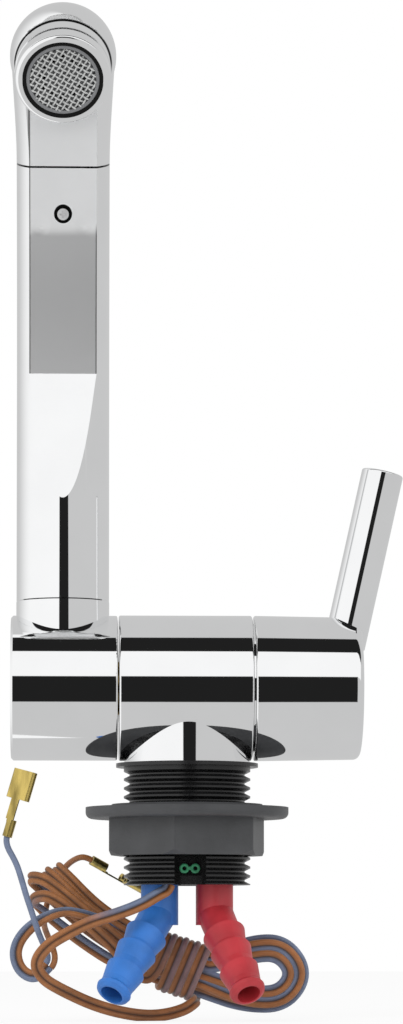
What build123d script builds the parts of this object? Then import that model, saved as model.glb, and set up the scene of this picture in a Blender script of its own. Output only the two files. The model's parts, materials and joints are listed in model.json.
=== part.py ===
from build123d import *
import os
from math import asin, cos, pi, radians, sin, tan

# Single-lever mixer tap with a fold-down spout, in millimetres.
# The origin is on the stem's axis, in the plane of the worktop that its flange rests on.
# +X runs along the barrel towards the lever, -Y is the side that the spout leans to, +Z is up.

# Clearances
slip = 0.05  # between fixed pieces that plug into each other
running = 0.08  # between a shaft and the bore that it turns or slides in
free = 0.4  # round what moves without touching
past = 1.0  # how far a cut reaches beyond what it cuts

# Barrel, the horizontal body in three sections
barrel_r = 19.12
barrel_clear = 1.7  # between the barrel and the worktop's plane
barrel_wall = 2.2
centre_length = 34.95
centre_left_x = -18.0
left_length = 27.85
left_step = 0.1
handle_length = 28.0
fold_seam = 0.35
turn_seam = 0.5
seam_round = 0.5
end_bevel = 0.6
barrel_z = barrel_r + barrel_clear
left_r = barrel_r - left_step
centre_right_x = centre_left_x + centre_length
knuckle_right_x = centre_left_x - fold_seam
left_end_x = knuckle_right_x - left_length
cap_left_x = centre_right_x + turn_seam
right_end_x = cap_left_x + handle_length

# Stem with its pipe thread, under the worktop
neck_r = 16.5
flange_r = 18.65
flange_t = 1.0
thread_r = 16.62
thread_pitch = 2.309
thread_depth = 1.48
thread_flat = 0.35
thread_start = 0.49  # how far up its pitch a groove's root lies
stem_length = 30.9
stem_bore_r = 13.0
stem_spigot_r = 14.0
stem_spigot_h = 6.0
stem_deck_t = 4.2
stem_slot_w = 8.2
stem_slot_x = 0.4
stem_slot_top_z = -18.5
stem_rib_y = -8.2
stem_rib_t = 1.0
stem_rib_root = 0.4
post_shift = 0.5
post_w = 5.5
post_h = 2.3
post_depth = 2.8
stem_bottom_z = -stem_length
spigot_top_z = flange_t + stem_spigot_h
deck_z = spigot_top_z - stem_deck_t

# Washer and nut that clamp the worktop
clamp_gap = 9.7
washer_r = 19.8
washer_t = 0.8
clamp_bore_r = thread_r + 0.35
nut_flange_r = 26.65
nut_flange_t = 3.0
nut_across_flats = 38.0
nut_hex_h = 9.7
nut_turned = 19.7
nut_rim = 1.6
nut_corner = 1.0
nut_lead_w = 1.6
nut_lead_h = 2.2
washer_z = -clamp_gap - washer_t
nut_flange_z = washer_z - nut_flange_t
nut_bottom_z = nut_flange_z - nut_hex_h

# Turning handle section: its spigot on the centre section and its bore
spigot_length = 3.4
spigot_wall = 1.2
cap_bore_r = barrel_r - barrel_wall
turn_spigot_r = cap_bore_r - running

# Disc that works the switch, and the microswitch above the cartridge
actuator_gap = 0.42
actuator_r = turn_spigot_r - spigot_wall - actuator_gap
actuator_t = 1.0
actuator_overlap = 2.6  # how far the disc stands out of the centre section
actuator_x = centre_right_x + actuator_overlap
switch_length = 12.8
switch_w = 6.5
switch_t = 5.8
switch_inset = 0.2
switch_x = centre_right_x - switch_inset - switch_length
plunger_r = 1.2
plunger_depth = 4.0
plunger_inner = 1.0
plunger_inset = 1.4
plunger_height = 2.85
plunger_gap = 0.1
plunger_round = 0.4
plunger_z = barrel_z + actuator_r - plunger_inset
switch_z = plunger_z - plunger_height
switch_pocket_x = -7.5
switch_hole_r = 0.8
switch_hole_z = switch_z + 1.6
switch_hole_inset = 3.2

# Cartridge in the centre section
cartridge_gap = 0.25
cartridge_wall = 3.0
cartridge_r = switch_z - barrel_z - cartridge_gap
cartridge_floor_x = -12.0
cartridge_nut_t = 3.9
cartridge_end_t = 2.0
cartridge_length = centre_right_x - cartridge_nut_t - cartridge_floor_x
cartridge_cavity_r = cartridge_r - cartridge_wall
key_hole_r = 1.3
key_hole_depth = 1.6
key_inset = 3.0
seal_r = 0.6
seal_squeeze = 0.4
seal_groove_w = 1.6
cartridge_seal_inset = 1.6
cartridge_bore_r = cartridge_r + slip
cartridge_right_x = cartridge_floor_x + cartridge_length
inlet_x = 7.2
inlet_port_r = 2.5
outlet_r = 3.0

# Valve spindle, on the barrel's axis
spindle_r = 3.0
spindle_left_x = -6.0
valve_seal_room = 2.0
valve_seal_r = cartridge_cavity_r - valve_seal_room
valve_seal_t = 2.5
mixing_disc_r = cartridge_cavity_r - free
mixing_disc_t = 2.4
mixing_disc_x = 2.0
mixing_port_inset = 2.4
mixing_port_length = 2.2
mixing_port_w = 2.0
spool_r = 4.6
spool_core_r = 1.0
spool_cheek_t = 1.5
spool_gap = 0.3

# Turning handle section and its lever
snap_ring_inset = 1.4
snap_ring_x = centre_right_x + snap_ring_inset
snap_ring_t = 0.9
snap_ring_depth = 0.6
cap_draft = 0.45
cap_round = 1.9
cap_end_wall = 1.7
cap_top_wall = barrel_wall + 0.2
facet_inset = 19.95
facet_x = cap_left_x + facet_inset
facet_slope = 31.0
carrier_inset = 5.2
carrier_x = cap_left_x + carrier_inset
carrier_t = 2.5
carrier_window_r = 10.5
carrier_window_length = 5.0
carrier_window_w = 4.4
lever_lean = 12.6
lever_r = 5.5
lever_pivot_up = 8.9
lever_pivot_z = barrel_z + lever_pivot_up
lever_foot_inset = 21.45
lever_foot_x = cap_left_x + lever_foot_inset
lever_top_z = 78.0
lever_pin_inset = 0.2
lever_slot_low = 1.5
lever_edge = 0.5
lever_hub_r = 3.1
lever_hub_up = 2.5
lever_pin_r = 1.5
lever_ball_r = 2.0
lever_ball_drop = 5.64
lever_neck_r = 1.2
lug_t = 2.6
lug_drop = 3.2
lever_slot_gap = 0.35
lever_travel = 20.0
lever_lean_x = sin(radians(lever_lean))
lever_lean_z = cos(radians(lever_lean))
lever_pivot_x = lever_foot_x + (lever_pivot_z - barrel_z) * tan(radians(lever_lean))
lever_up = Vector(lever_lean_x, 0, lever_lean_z)
lever_out = Vector(lever_lean_z, 0, -lever_lean_x)
lever_pivot = Vector(lever_pivot_x, 0, lever_pivot_z)
lever_height = (lever_top_z - lever_pivot_z) / lever_lean_z
lever_ball = lever_pivot - lever_up * lever_ball_drop

# Folding section and its pivot
spout_inset = 14.7
spout_x = centre_left_x - spout_inset
pivot_flange_r = 9.0
pivot_flange_t = 3.4
pivot_r = 7.0
pivot_bore_r = 4.0
pivot_reach = 23.6
pivot_end_x = centre_left_x - pivot_reach
pivot_end_t = 2.6
pivot_retainer_r = 9.2
pivot_retainer_t = 1.2
pivot_screw_r = 2.0
pivot_seal_gap = 5.6
chamber_r = 8.2
chamber_w = 6.4
core_inset = 0.6
core_right_x = knuckle_right_x - core_inset
boss_r = 7.5
collar_r = 12.2
collar_rise = 3.43
collar_wall = 1.9
collar_top_z = barrel_z + barrel_r + collar_rise
boss_below = 1.95
boss_top_z = collar_top_z - boss_below
swivel_gap = 0.3
bush_below = 5.55
bush_above = 8.25
bush_low_z = collar_top_z - bush_below
bush_high_z = collar_top_z + bush_above
knuckle_bore_r = left_r - barrel_wall
knuckle_core_r = knuckle_bore_r - slip

# Spout: upright, then leaning forward on an arc, with a scoop cut along its front
spout_r = 12.15
spout_wall = 1.8
lean_start_z = 95.1
lean_r = 194.0
head_seam_angle = 18.8
head_angle = 27.0
face_depth = 8.4
scoop_tip_z = 69.7
scoop_crease_z = 102.6
head_seam_gap = 0.35
tube_r = 4.5
tube_bore_r = 3.2
tube_low_z = 31.0
tube_top_angle = 21.5
screw_angle = 15.04
screw_recess_r = 2.3
screw_recess_depth = 1.0
screw_head_r = 1.5
screw_head_t = 0.9
screw_shank_r = 1.0
screw_cross = 1.8
screw_cross_w = 0.4
screw_cross_depth = 0.5
tongue_w = 9.0
tongue_t = 1.5
tongue_low_angle = 13.5
tongue_lap = 2.0
tongue_front = 0.6
dimple_spread = 5.75
dimple_angle = 14.15
dimple_r = 2.6
dimple_depth = 0.12

# Spout head, nozzle and aerator
head_ball_r = 13.75
head_neck_radii = (12.15, 12.3, 12.65, 13.05, 13.4)
head_cut = 5.3  # from the ball's centre to the flat that its collar stands on
head_edge = 0.4
head_groove_r = 11.9
head_groove_w = 0.5
head_collar_r = 12.35
head_collar_end = 10.0
nozzle_drop = 37.2
nozzle_bore_r = 9.9
nozzle_gap = 0.4
nozzle_r = 12.2
nozzle_length = 4.55
nozzle_mouth_r = 10.4
nozzle_throat_r = 9.5
nozzle_edge = 0.3
nozzle_round = 0.8
nozzle_mouth_depth = 1.0
aerator_lip_t = 0.85
aerator_shelf = 0.3
aerator_rim = 0.4
aerator_inset = 0.4
aerator_plate_t = 2.4
jet_circle = 5.4
jet_count = 12
jet_r = 0.9
mesh_raised = 0.1
mesh_rim = 0.3
insert_r = nozzle_bore_r - slip
insert_back = -6.0
insert_bore_r = 8.6
insert_neck_step = 1.6
inlet_step = 0.35
inlet_wall = 0.85
inlet_overlap = 2.5
inlet_short = 0.6
head_wall = spout_wall + 0.6
seal_lap = 1.4
aerator_ring_r = 9.4
aerator_sleeve_r = 9.1
mesh_r = 8.5
mesh_t = 0.3
mesh_pitch = 1.25
mesh_wire = 0.42
mesh_turned = 27.0

# Hose tails under the stem
tail_r = 4.9
tail_elbow_z = -38.0
tail_bottom_z = -41.4
tail_spigot_r = 3.0
tail_spigot_top_z = 9.3
tail_passage_r = 2.0
tail_seal_r = 0.45
barb_length = 30.3
barb_root_r = 4.75
barb_ridges = ((8.2, 5.65), (14.3, 5.45), (21.3, 5.2))  # where each ridge starts and its radius
barb_ramp = 5.2
barb_step = 0.5
barb_neck_at = 28.0
barb_neck_r = 4.35
barb_bead_at = 28.8
barb_bead_r = 4.75
barb_lead = 0.7
barb_lead_r = 4.5
barb_lip_r = 3.5
barb_bore_r = 3.0
cold_direction = Vector(-0.42, -0.57, -0.707).normalized()
hot_direction = Vector(0.27, -0.664, -0.707).normalized()

# Green clip in the stem's slot
clip_z = -26.7
clip_ring_r = 0.9
clip_wire_r = 0.4
clip_spread = 2.85
clip_y = -11.2
clip_tab_half = 0.6
clip_stem_half = 0.5

# Switch cable, a flat twin drawn as one round cord until it splits into its two cores
cable_r = 0.95
core_r = 0.8
core_offset = 0.92
lead_x = -5.0
lead_y = -10.1
lead_channel_r = 1.4

# Hank of the switch cable: strands in rows and columns, bound by the cable's own turns
hank_centre = Vector(-2.1, 9.5, -52.2)
hank_tilt = 18.0
row_pitch = 2.35
column_half = 1.2
wrap_turns = 4
wrap_pitch = 3.2
wrap_start_u = 7.2
wrap_half_h = 7.06
wrap_half_d = 3.57
wrap_corner = 1.33
band_middle = Vector(-21.1, 9.5, -40.7)
band_tilt = 33.0
band_pitch = 2.65
eye_r = 4.0
loop_centre = Vector(21.4, 9.5, -53.7)
loop_half_w = 10.6
loop_half_h = 9.15
loop_depth = 2.0

# Spade terminals
terminal_length = 18.0
terminal_w = 7.0
terminal_seat = 7.8
terminal_sheet = 0.4
terminal_curl_r = 1.15
terminal_neck_w = 2.4
terminal_heel_w = 1.6
terminal_heel_t = 0.6
terminal_heel_back = 0.8
crimp_r = 1.3
crimp_length = 4.6
blue_crimp = Vector(-47.2, -2.0, -18.3)
blue_crimp_direction = Vector(0.28, 0.0, 0.96)
blue_crimp_width = Vector(0.805, -0.545, -0.235)
brown_crimp = Vector(-25.0, 12.4, -24.1)
brown_crimp_direction = Vector(0.826, 0.33, -0.457)
brown_crimp_width = Vector(-0.289, 0.944, 0.16)


def across_barrel(x):
    """The plane square to the barrel's axis at x."""
    return Plane(origin=(x, 0, barrel_z), x_dir=(0, 1, 0), z_dir=(1, 0, 0))


def upright(x, y, z):
    """The level plane at a point."""
    return Plane(origin=(x, y, z), x_dir=(1, 0, 0), z_dir=(0, 0, 1))


def rod(plane, radius, length, mode=Mode.ADD):
    """A cylinder from the plane's origin along its normal."""
    with BuildSketch(plane) as disc:
        Circle(radius)
    extrude(disc.sketch, amount=length, mode=mode)


def ring(plane, outer_r, inner_r, length, mode=Mode.ADD):
    """A hollow cylinder from the plane's origin along its normal."""
    with BuildSketch(plane) as washer:
        Circle(outer_r)
        Circle(inner_r, mode=Mode.SUBTRACT)
    extrude(washer.sketch, amount=length, mode=mode)


def turned(plane, axis, outline, mode=Mode.ADD):
    """A turned solid: an outline in the plane, revolved about the axis."""
    with BuildSketch(plane) as section:
        Polygon(*outline, align=None)
    revolve(section.sketch, axis=axis, mode=mode)


def block(low, high, mode=Mode.ADD):
    """A box between two corners."""
    middle = tuple((a + b) / 2 for a, b in zip(low, high))
    size = tuple(b - a for a, b in zip(low, high))
    with Locations(middle):
        Box(*size, mode=mode)


def o_ring(plane, inside_r, section_r):
    """A seal whose inner side is at inside_r."""
    with Locations(plane):
        Torus(inside_r + section_r, section_r)


def save(piece, name):
    """Names a finished piece and writes it."""
    piece.part.label = name
    export_step(piece.part, f"parts/{name}.step")


os.makedirs("parts", exist_ok=True)

barrel_axis = Axis((0, 0, barrel_z), (1, 0, 0))
barrel_side = Plane(origin=(0, 0, barrel_z), x_dir=(1, 0, 0), z_dir=(0, -1, 0))
stem_side = Plane.XZ


# Switch lead inside the body: from the microswitch round the cartridge and down the stem
switch_exit = Vector(switch_x, 0, plunger_z)
lead_exit = Vector(lead_x, lead_y, stem_bottom_z)
inner_lead_route = [
    switch_exit,
    Vector(0.5, 0, plunger_z),
    Vector(-3.6, -3.6, plunger_z - 0.6),
    Vector(lead_x, -9.0, plunger_z - 2.6),
    Vector(lead_x, -13.2, plunger_z - 7.0),
    Vector(lead_x, -14.4, barrel_z - 0.6),
    Vector(lead_x, -13.0, 13.2),
    Vector(lead_x, -10.6, 8.4),
    Vector(lead_x, lead_y, 0.0),
    Vector(lead_x, lead_y, -14.0),
    lead_exit,
]


def bends(route):
    """The corners of a route and the largest arc that each leaves room for."""
    corners = []
    radii = []
    for before, corner, after in zip(route, route[1:], route[2:]):
        run_in = corner - before
        run_out = after - corner
        turn = run_in.get_angle(run_out)
        if turn > 0.2:
            corners.append(corner)
            radii.append(0.45 * min(run_in.length, run_out.length) / tan(radians(turn) / 2))
    return corners, radii


def cord_path(route):
    """The route's straight runs joined by tangent arcs."""
    corners, radii = bends(route)
    with BuildLine() as path:
        FilletPolyline(route[0], *corners, route[-1], radius=radii)
    return path.wire()


def cord(route, radius, mode=Mode.ADD):
    """A round cord along a route."""
    with BuildSketch(Plane(origin=route[0], z_dir=route[1] - route[0])) as section:
        Circle(radius)
    sweep(section.sketch, path=cord_path(route), mode=mode)


# Centre section of the barrel on its neck, with the cartridge's bore and the waterways
with BuildPart() as centre_body:
    rod(across_barrel(centre_left_x), barrel_r, centre_length)
    fillet(centre_body.edges().filter_by(GeomType.CIRCLE), seam_round)
    rod(upright(0, 0, flange_t), neck_r, barrel_z - flange_t)
    ring(across_barrel(centre_right_x), turn_spigot_r, turn_spigot_r - spigot_wall, spigot_length)
    ring(
        across_barrel(snap_ring_x - slip),
        turn_spigot_r + past,
        turn_spigot_r - snap_ring_depth - slip,
        snap_ring_t + 2 * slip,
        mode=Mode.SUBTRACT,
    )
    cartridge_bore_length = centre_right_x - cartridge_floor_x
    rod(across_barrel(cartridge_floor_x), cartridge_bore_r, cartridge_bore_length, mode=Mode.SUBTRACT)
    rod(across_barrel(centre_left_x), outlet_r, centre_length / 2, mode=Mode.SUBTRACT)
    rod(across_barrel(centre_left_x), pivot_flange_r + slip, pivot_flange_t, mode=Mode.SUBTRACT)
    rod(upright(0, 0, flange_t), stem_spigot_r + slip, stem_spigot_h + slip, mode=Mode.SUBTRACT)
    for side in (-1, 1):
        rod(upright(side * inlet_x, 0, flange_t), inlet_port_r, barrel_z - flange_t, mode=Mode.SUBTRACT)
        rod(
            upright(side * inlet_x, 0, flange_t),
            tail_spigot_r + slip,
            tail_spigot_top_z - flange_t + slip,
            mode=Mode.SUBTRACT,
        )
        rod(
            upright(side * inlet_x, 0, spigot_top_z),
            tail_spigot_r + 2 * tail_seal_r + 2 * slip,
            2 * tail_seal_r + 2 * slip,
            mode=Mode.SUBTRACT,
        )
    block(
        (switch_pocket_x, -switch_w / 2 - slip, switch_z - slip),
        (centre_right_x, switch_w / 2 + slip, switch_z + switch_t + slip),
        mode=Mode.SUBTRACT,
    )
    cord(inner_lead_route, lead_channel_r, mode=Mode.SUBTRACT)
save(centre_body, "centre_body")


# Threaded stem: flange, spigot into the neck, deck with the passages, slotted skirt
thread_count = int(stem_length / thread_pitch)
groove_half = thread_depth * tan(radians(27.5)) + thread_flat / 2
with BuildPart() as mounting_stem:
    rod(upright(0, 0, stem_bottom_z), thread_r, stem_length)
    rod(upright(0, 0, 0), flange_r, flange_t)
    rod(upright(0, 0, flange_t), stem_spigot_r, stem_spigot_h)
    rod(upright(0, 0, stem_bottom_z), stem_bore_r, deck_z - stem_bottom_z, mode=Mode.SUBTRACT)
    for turn in range(thread_count):
        root_z = stem_bottom_z + (turn + thread_start) * thread_pitch
        turned(
            stem_side,
            Axis.Z,
            [
                (thread_r + 0.1, root_z - groove_half),
                (thread_r - thread_depth, root_z - thread_flat / 2),
                (thread_r - thread_depth, root_z + thread_flat / 2),
                (thread_r + 0.1, root_z + groove_half),
            ],
            mode=Mode.SUBTRACT,
        )
    block(
        (stem_slot_x - stem_slot_w / 2, -thread_r - past, stem_bottom_z),
        (stem_slot_x + stem_slot_w / 2, stem_rib_y - 2 * past, stem_slot_top_z),
        mode=Mode.SUBTRACT,
    )
    rib_half = (stem_bore_r**2 - (stem_rib_y + stem_rib_t) ** 2) ** 0.5 + stem_rib_root
    block((-rib_half, stem_rib_y, stem_bottom_z), (rib_half, stem_rib_y + stem_rib_t, deck_z))
    block(
        (stem_slot_x + post_shift - post_w / 2, stem_rib_y - post_depth, stem_bottom_z),
        (stem_slot_x + post_shift + post_w / 2, stem_rib_y, stem_bottom_z + post_h),
    )
    for side in (-1, 1):
        rod(upright(side * inlet_x, 0, deck_z), tail_spigot_r + slip, stem_deck_t, mode=Mode.SUBTRACT)
    cord(inner_lead_route[5:], lead_channel_r, mode=Mode.SUBTRACT)
save(mounting_stem, "mounting_stem")


# Clamp washer and flanged hexagon nut
with BuildPart() as clamp_washer:
    ring(upright(0, 0, washer_z), washer_r, clamp_bore_r, washer_t)
save(clamp_washer, "clamp_washer")

hex_r = nut_across_flats / 2 / cos(pi / 6)
with BuildPart() as flange_nut:
    rod(upright(0, 0, nut_flange_z), nut_flange_r, nut_flange_t)
    rim = flange_nut.edges().filter_by(GeomType.CIRCLE).sort_by(Axis.Z)
    fillet(rim[0], nut_rim)
    with BuildSketch(upright(0, 0, nut_bottom_z)) as hexagon:
        RegularPolygon(hex_r, 6, rotation=nut_turned)
        fillet(hexagon.vertices(), nut_corner)
    extrude(hexagon.sketch, amount=nut_hex_h)
    turned(
        stem_side,
        Axis.Z,
        [
            (hex_r - nut_lead_w, nut_bottom_z),
            (hex_r + past, nut_bottom_z),
            (hex_r + past, nut_bottom_z + nut_lead_h),
        ],
        mode=Mode.SUBTRACT,
    )
    rod(upright(0, 0, nut_bottom_z), clamp_bore_r, nut_hex_h + nut_flange_t, mode=Mode.SUBTRACT)
save(flange_nut, "flange_nut")


# Mixing cartridge: body, locking nut and seals
with BuildPart() as cartridge_body:
    rod(across_barrel(cartridge_floor_x), cartridge_r, cartridge_length)
    rod(
        across_barrel(cartridge_floor_x + cartridge_end_t),
        cartridge_cavity_r,
        cartridge_length - cartridge_end_t,
        mode=Mode.SUBTRACT,
    )
    rod(across_barrel(cartridge_floor_x), outlet_r, cartridge_end_t, mode=Mode.SUBTRACT)
    for side in (-1, 1):
        rod(upright(side * inlet_x, 0, 0), inlet_port_r, barrel_z, mode=Mode.SUBTRACT)
    for x in (cartridge_floor_x + cartridge_seal_inset, cartridge_right_x - cartridge_seal_inset):
        ring(
            across_barrel(x - seal_groove_w / 2),
            cartridge_r + past,
            cartridge_r - 2 * seal_r - slip,
            seal_groove_w,
            mode=Mode.SUBTRACT,
        )
save(cartridge_body, "cartridge_body")

with BuildPart() as cartridge_seals:
    for x in (cartridge_floor_x + cartridge_seal_inset, cartridge_right_x - cartridge_seal_inset):
        o_ring(across_barrel(x), cartridge_r - 2 * seal_r - slip / 2, seal_r)
save(cartridge_seals, "cartridge_seals")

with BuildPart() as cartridge_nut:
    rod(across_barrel(cartridge_right_x), cartridge_r, cartridge_nut_t)
    rod(across_barrel(cartridge_right_x), spindle_r + running, cartridge_nut_t, mode=Mode.SUBTRACT)
    for angle in range(0, 360, 90):
        key_y = (cartridge_r - key_inset) * cos(radians(angle))
        key_z = (cartridge_r - key_inset) * sin(radians(angle))
        key_plane = across_barrel(cartridge_right_x + cartridge_nut_t - key_hole_depth)
        with BuildSketch(key_plane) as key_hole:
            with Locations((key_y, key_z)):
                Circle(key_hole_r)
        extrude(key_hole.sketch, amount=key_hole_depth, mode=Mode.SUBTRACT)
save(cartridge_nut, "cartridge_nut")


# Valve spindle with its spool, the disc that works the switch, and what it carries
spool_left_x = lever_ball.X - lever_ball_r - spool_gap - spool_cheek_t
spool_right_x = lever_ball.X + lever_ball_r + spool_gap
spindle_profile = [
    (spindle_left_x, 0),
    (spindle_left_x, spindle_r),
    (actuator_x, spindle_r),
    (actuator_x, actuator_r),
    (actuator_x + actuator_t, actuator_r),
    (actuator_x + actuator_t, spindle_r),
    (spool_left_x, spindle_r),
    (spool_left_x, spool_r),
    (spool_left_x + spool_cheek_t, spool_r),
    (spool_left_x + spool_cheek_t, spool_core_r),
    (spool_right_x, spool_core_r),
    (spool_right_x, spool_r),
    (spool_right_x + spool_cheek_t, spool_r),
    (spool_right_x + spool_cheek_t, 0),
]
with BuildPart() as valve_spindle:
    turned(barrel_side, barrel_axis, spindle_profile)
save(valve_spindle, "valve_spindle")

with BuildPart() as valve_seal:
    ring(across_barrel(spindle_left_x), valve_seal_r, spindle_r + slip, valve_seal_t)
save(valve_seal, "valve_seal")

with BuildPart() as mixing_disc:
    ring(across_barrel(mixing_disc_x), mixing_disc_r, spindle_r + slip, mixing_disc_t)
    with BuildSketch(across_barrel(mixing_disc_x)) as ports:
        port_circle = mixing_disc_r - mixing_port_inset
        with PolarLocations(port_circle, 2, start_angle=-90, angular_range=120, rotate=True):
            SlotCenterToCenter(mixing_port_length, mixing_port_w, rotation=90)
    extrude(ports.sketch, amount=mixing_disc_t, mode=Mode.SUBTRACT)
save(mixing_disc, "mixing_disc")


# Snap ring that holds the turning section on its spigot
with BuildPart() as snap_ring:
    ring(
        across_barrel(snap_ring_x),
        turn_spigot_r + snap_ring_depth,
        turn_spigot_r - snap_ring_depth,
        snap_ring_t,
    )
save(snap_ring, "snap_ring")


# Microswitch and its plunger
switch_right_x = switch_x + switch_length
with BuildPart() as switch_body:
    block(
        (switch_x, -switch_w / 2, switch_z),
        (switch_right_x, switch_w / 2, switch_z + switch_t),
    )
    rod(
        Plane(origin=(switch_right_x, 0, plunger_z), x_dir=(0, 1, 0), z_dir=(-1, 0, 0)),
        plunger_r + running,
        plunger_depth,
        mode=Mode.SUBTRACT,
    )
    for x in (switch_x + switch_hole_inset, switch_right_x - switch_hole_inset):
        hole_plane = Plane(origin=(x, switch_w / 2, switch_hole_z), z_dir=(0, -1, 0))
        rod(hole_plane, switch_hole_r, switch_w, mode=Mode.SUBTRACT)
save(switch_body, "switch_body")

with BuildPart() as switch_plunger:
    rod(
        Plane(origin=(switch_right_x - plunger_inner, 0, plunger_z), x_dir=(0, 1, 0), z_dir=(1, 0, 0)),
        plunger_r,
        actuator_x - plunger_gap - switch_right_x + plunger_inner,
    )
    fillet(switch_plunger.edges().filter_by(GeomType.CIRCLE).sort_by(Axis.X)[-1], plunger_round)
save(switch_plunger, "switch_plunger")

with BuildPart() as switch_lead:
    cord(inner_lead_route, cable_r)
save(switch_lead, "switch_lead")


# Turning section of the barrel: a drafted shell with a facet that the lever stands through
facet_down = tan(radians(facet_slope))
cap_inner_x = right_end_x - cap_end_wall


def above_facet(drop):
    """What lies above the facet, or above a face that is this much lower."""
    reach = 2 * barrel_r
    with BuildPart() as corner:
        with BuildSketch(barrel_side) as side_view:
            Polygon(
                (facet_x - reach, barrel_r - drop + reach * facet_down),
                (facet_x + reach, barrel_r - drop - reach * facet_down),
                (facet_x + reach, barrel_r + reach),
                align=None,
            )
        extrude(side_view.sketch, amount=barrel_r + past, both=True)
    return corner.part


def lever_lugs(reach):
    """The two ears beside the lever, which its pin sits in."""
    ear_y = lever_r + free
    with BuildPart() as ears:
        for side in (-1, 1):
            near, far = sorted((side * ear_y, side * (ear_y + lug_t)))
            block(
                (lever_pivot_x - lug_drop, near, lever_pivot_z - lug_drop),
                (cap_inner_x + reach, far, barrel_z + barrel_r),
            )
    return ears.part


def cap_hollow():
    """The space inside the turning section, less the lugs."""
    with BuildPart() as hollow:
        rod(across_barrel(cap_left_x), cap_bore_r, cap_inner_x - cap_left_x)
        add(above_facet(cap_top_wall), mode=Mode.SUBTRACT)
        add(lever_lugs(0), mode=Mode.SUBTRACT)
    return hollow.part


def lever_slot():
    """The slot that the lever stands in and tilts out of, a little larger than the lever."""
    slot_half = lever_r + lever_slot_gap
    with BuildPart() as slot:
        slot_plane = Plane(
            origin=lever_pivot - lever_up * lever_slot_low, x_dir=tuple(lever_out), z_dir=tuple(lever_up)
        )
        with BuildSketch(slot_plane) as mouth:
            Circle(slot_half)
            with Locations((slot_half, 0)):
                Rectangle(2 * slot_half, 2 * slot_half)
        extrude(mouth.sketch, amount=2 * barrel_r)
    return slot.part


end_r = barrel_r - cap_draft
cap_outline = [
    (cap_left_x, 0),
    (cap_left_x, barrel_r),
    (right_end_x, end_r),
    (right_end_x, 0),
]
hollow_in_cap = cap_hollow()
facet_corner = above_facet(0)
slot_in_cap = lever_slot()
with BuildPart() as handle_cap:
    turned(barrel_side, barrel_axis, cap_outline)
    rims = handle_cap.edges().filter_by(GeomType.CIRCLE).sort_by(Axis.X)
    fillet(rims[0], seam_round)
    fillet(rims[-1], cap_round)
    add(facet_corner, mode=Mode.SUBTRACT)
    add(hollow_in_cap, mode=Mode.SUBTRACT)
    ring(
        across_barrel(snap_ring_x - running),
        turn_spigot_r + snap_ring_depth + running,
        cap_bore_r - past / 2,
        snap_ring_t + 2 * running,
        mode=Mode.SUBTRACT,
    )
    add(slot_in_cap, mode=Mode.SUBTRACT)
    rod(
        Plane(origin=(lever_pivot_x, -barrel_r / 2, lever_pivot_z), z_dir=(0, 1, 0)),
        lever_pin_r + slip / 2,
        barrel_r,
        mode=Mode.SUBTRACT,
    )
save(handle_cap, "handle_cap")

with BuildPart() as cap_carrier:
    ring(across_barrel(carrier_x), cap_bore_r - slip, spindle_r + running, carrier_t)
    with BuildSketch(across_barrel(carrier_x)) as windows:
        with PolarLocations(carrier_window_r, 4):
            SlotCenterToCenter(carrier_window_length, carrier_window_w, rotation=90)
    extrude(windows.sketch, amount=carrier_t, mode=Mode.SUBTRACT)
save(cap_carrier, "cap_carrier")

pin_half = lever_r + free + lug_t - lever_pin_inset
with BuildPart() as lever_pin:
    rod(Plane(origin=(lever_pivot_x, -pin_half, lever_pivot_z), z_dir=(0, 1, 0)), lever_pin_r, 2 * pin_half)
save(lever_pin, "lever_pin")

with BuildPart() as lever:
    lever_plane = Plane(origin=tuple(lever_pivot), x_dir=tuple(lever_out), z_dir=tuple(lever_up))
    rod(lever_plane.offset(lever_hub_up), lever_r, lever_height - lever_hub_up)
    fillet(lever.edges().filter_by(GeomType.CIRCLE).sort_by(Axis.Z)[-1], lever_edge)
    rod(lever_plane.offset(-lever_hub_up), lever_hub_r, 2 * lever_hub_up)
    rod(lever_plane.offset(-lever_ball_drop), lever_neck_r, lever_ball_drop)
    with Locations(tuple(lever_ball)):
        Sphere(lever_ball_r)
    rod(
        Plane(origin=(lever_pivot_x, -barrel_r, lever_pivot_z), z_dir=(0, 1, 0)),
        lever_pin_r + running,
        2 * barrel_r,
        mode=Mode.SUBTRACT,
    )
save(lever, "lever")


# Pivot tube that the folding section turns on and the water passes through
pivot_length = centre_left_x - pivot_end_x
seal_groove_r = pivot_r - 2 * seal_r - slip
with BuildPart() as pivot_tube:
    rod(across_barrel(centre_left_x), pivot_flange_r, pivot_flange_t - slip)
    rod(across_barrel(pivot_end_x), pivot_r, pivot_length)
    rod(
        across_barrel(pivot_end_x + pivot_end_t),
        pivot_bore_r,
        pivot_length + pivot_flange_t - pivot_end_t,
        mode=Mode.SUBTRACT,
    )
    rod(across_barrel(pivot_end_x), pivot_screw_r + slip, pivot_end_t, mode=Mode.SUBTRACT)
    rod(upright(spout_x, 0, barrel_z - pivot_r), tube_bore_r, 2 * pivot_r, mode=Mode.SUBTRACT)
    for side in (-1, 1):
        ring(
            across_barrel(spout_x + side * pivot_seal_gap - seal_groove_w / 2),
            pivot_r + past,
            seal_groove_r,
            seal_groove_w,
            mode=Mode.SUBTRACT,
        )
save(pivot_tube, "pivot_tube")

with BuildPart() as pivot_seals:
    for side in (-1, 1):
        o_ring(across_barrel(spout_x + side * pivot_seal_gap), seal_groove_r, seal_r)
save(pivot_seals, "pivot_seals")

with BuildPart() as pivot_retainer:
    rod(across_barrel(pivot_end_x - pivot_retainer_t), pivot_retainer_r, pivot_retainer_t)
    rod(across_barrel(pivot_end_x), pivot_screw_r, pivot_end_t - slip)
save(pivot_retainer, "pivot_retainer")


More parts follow.
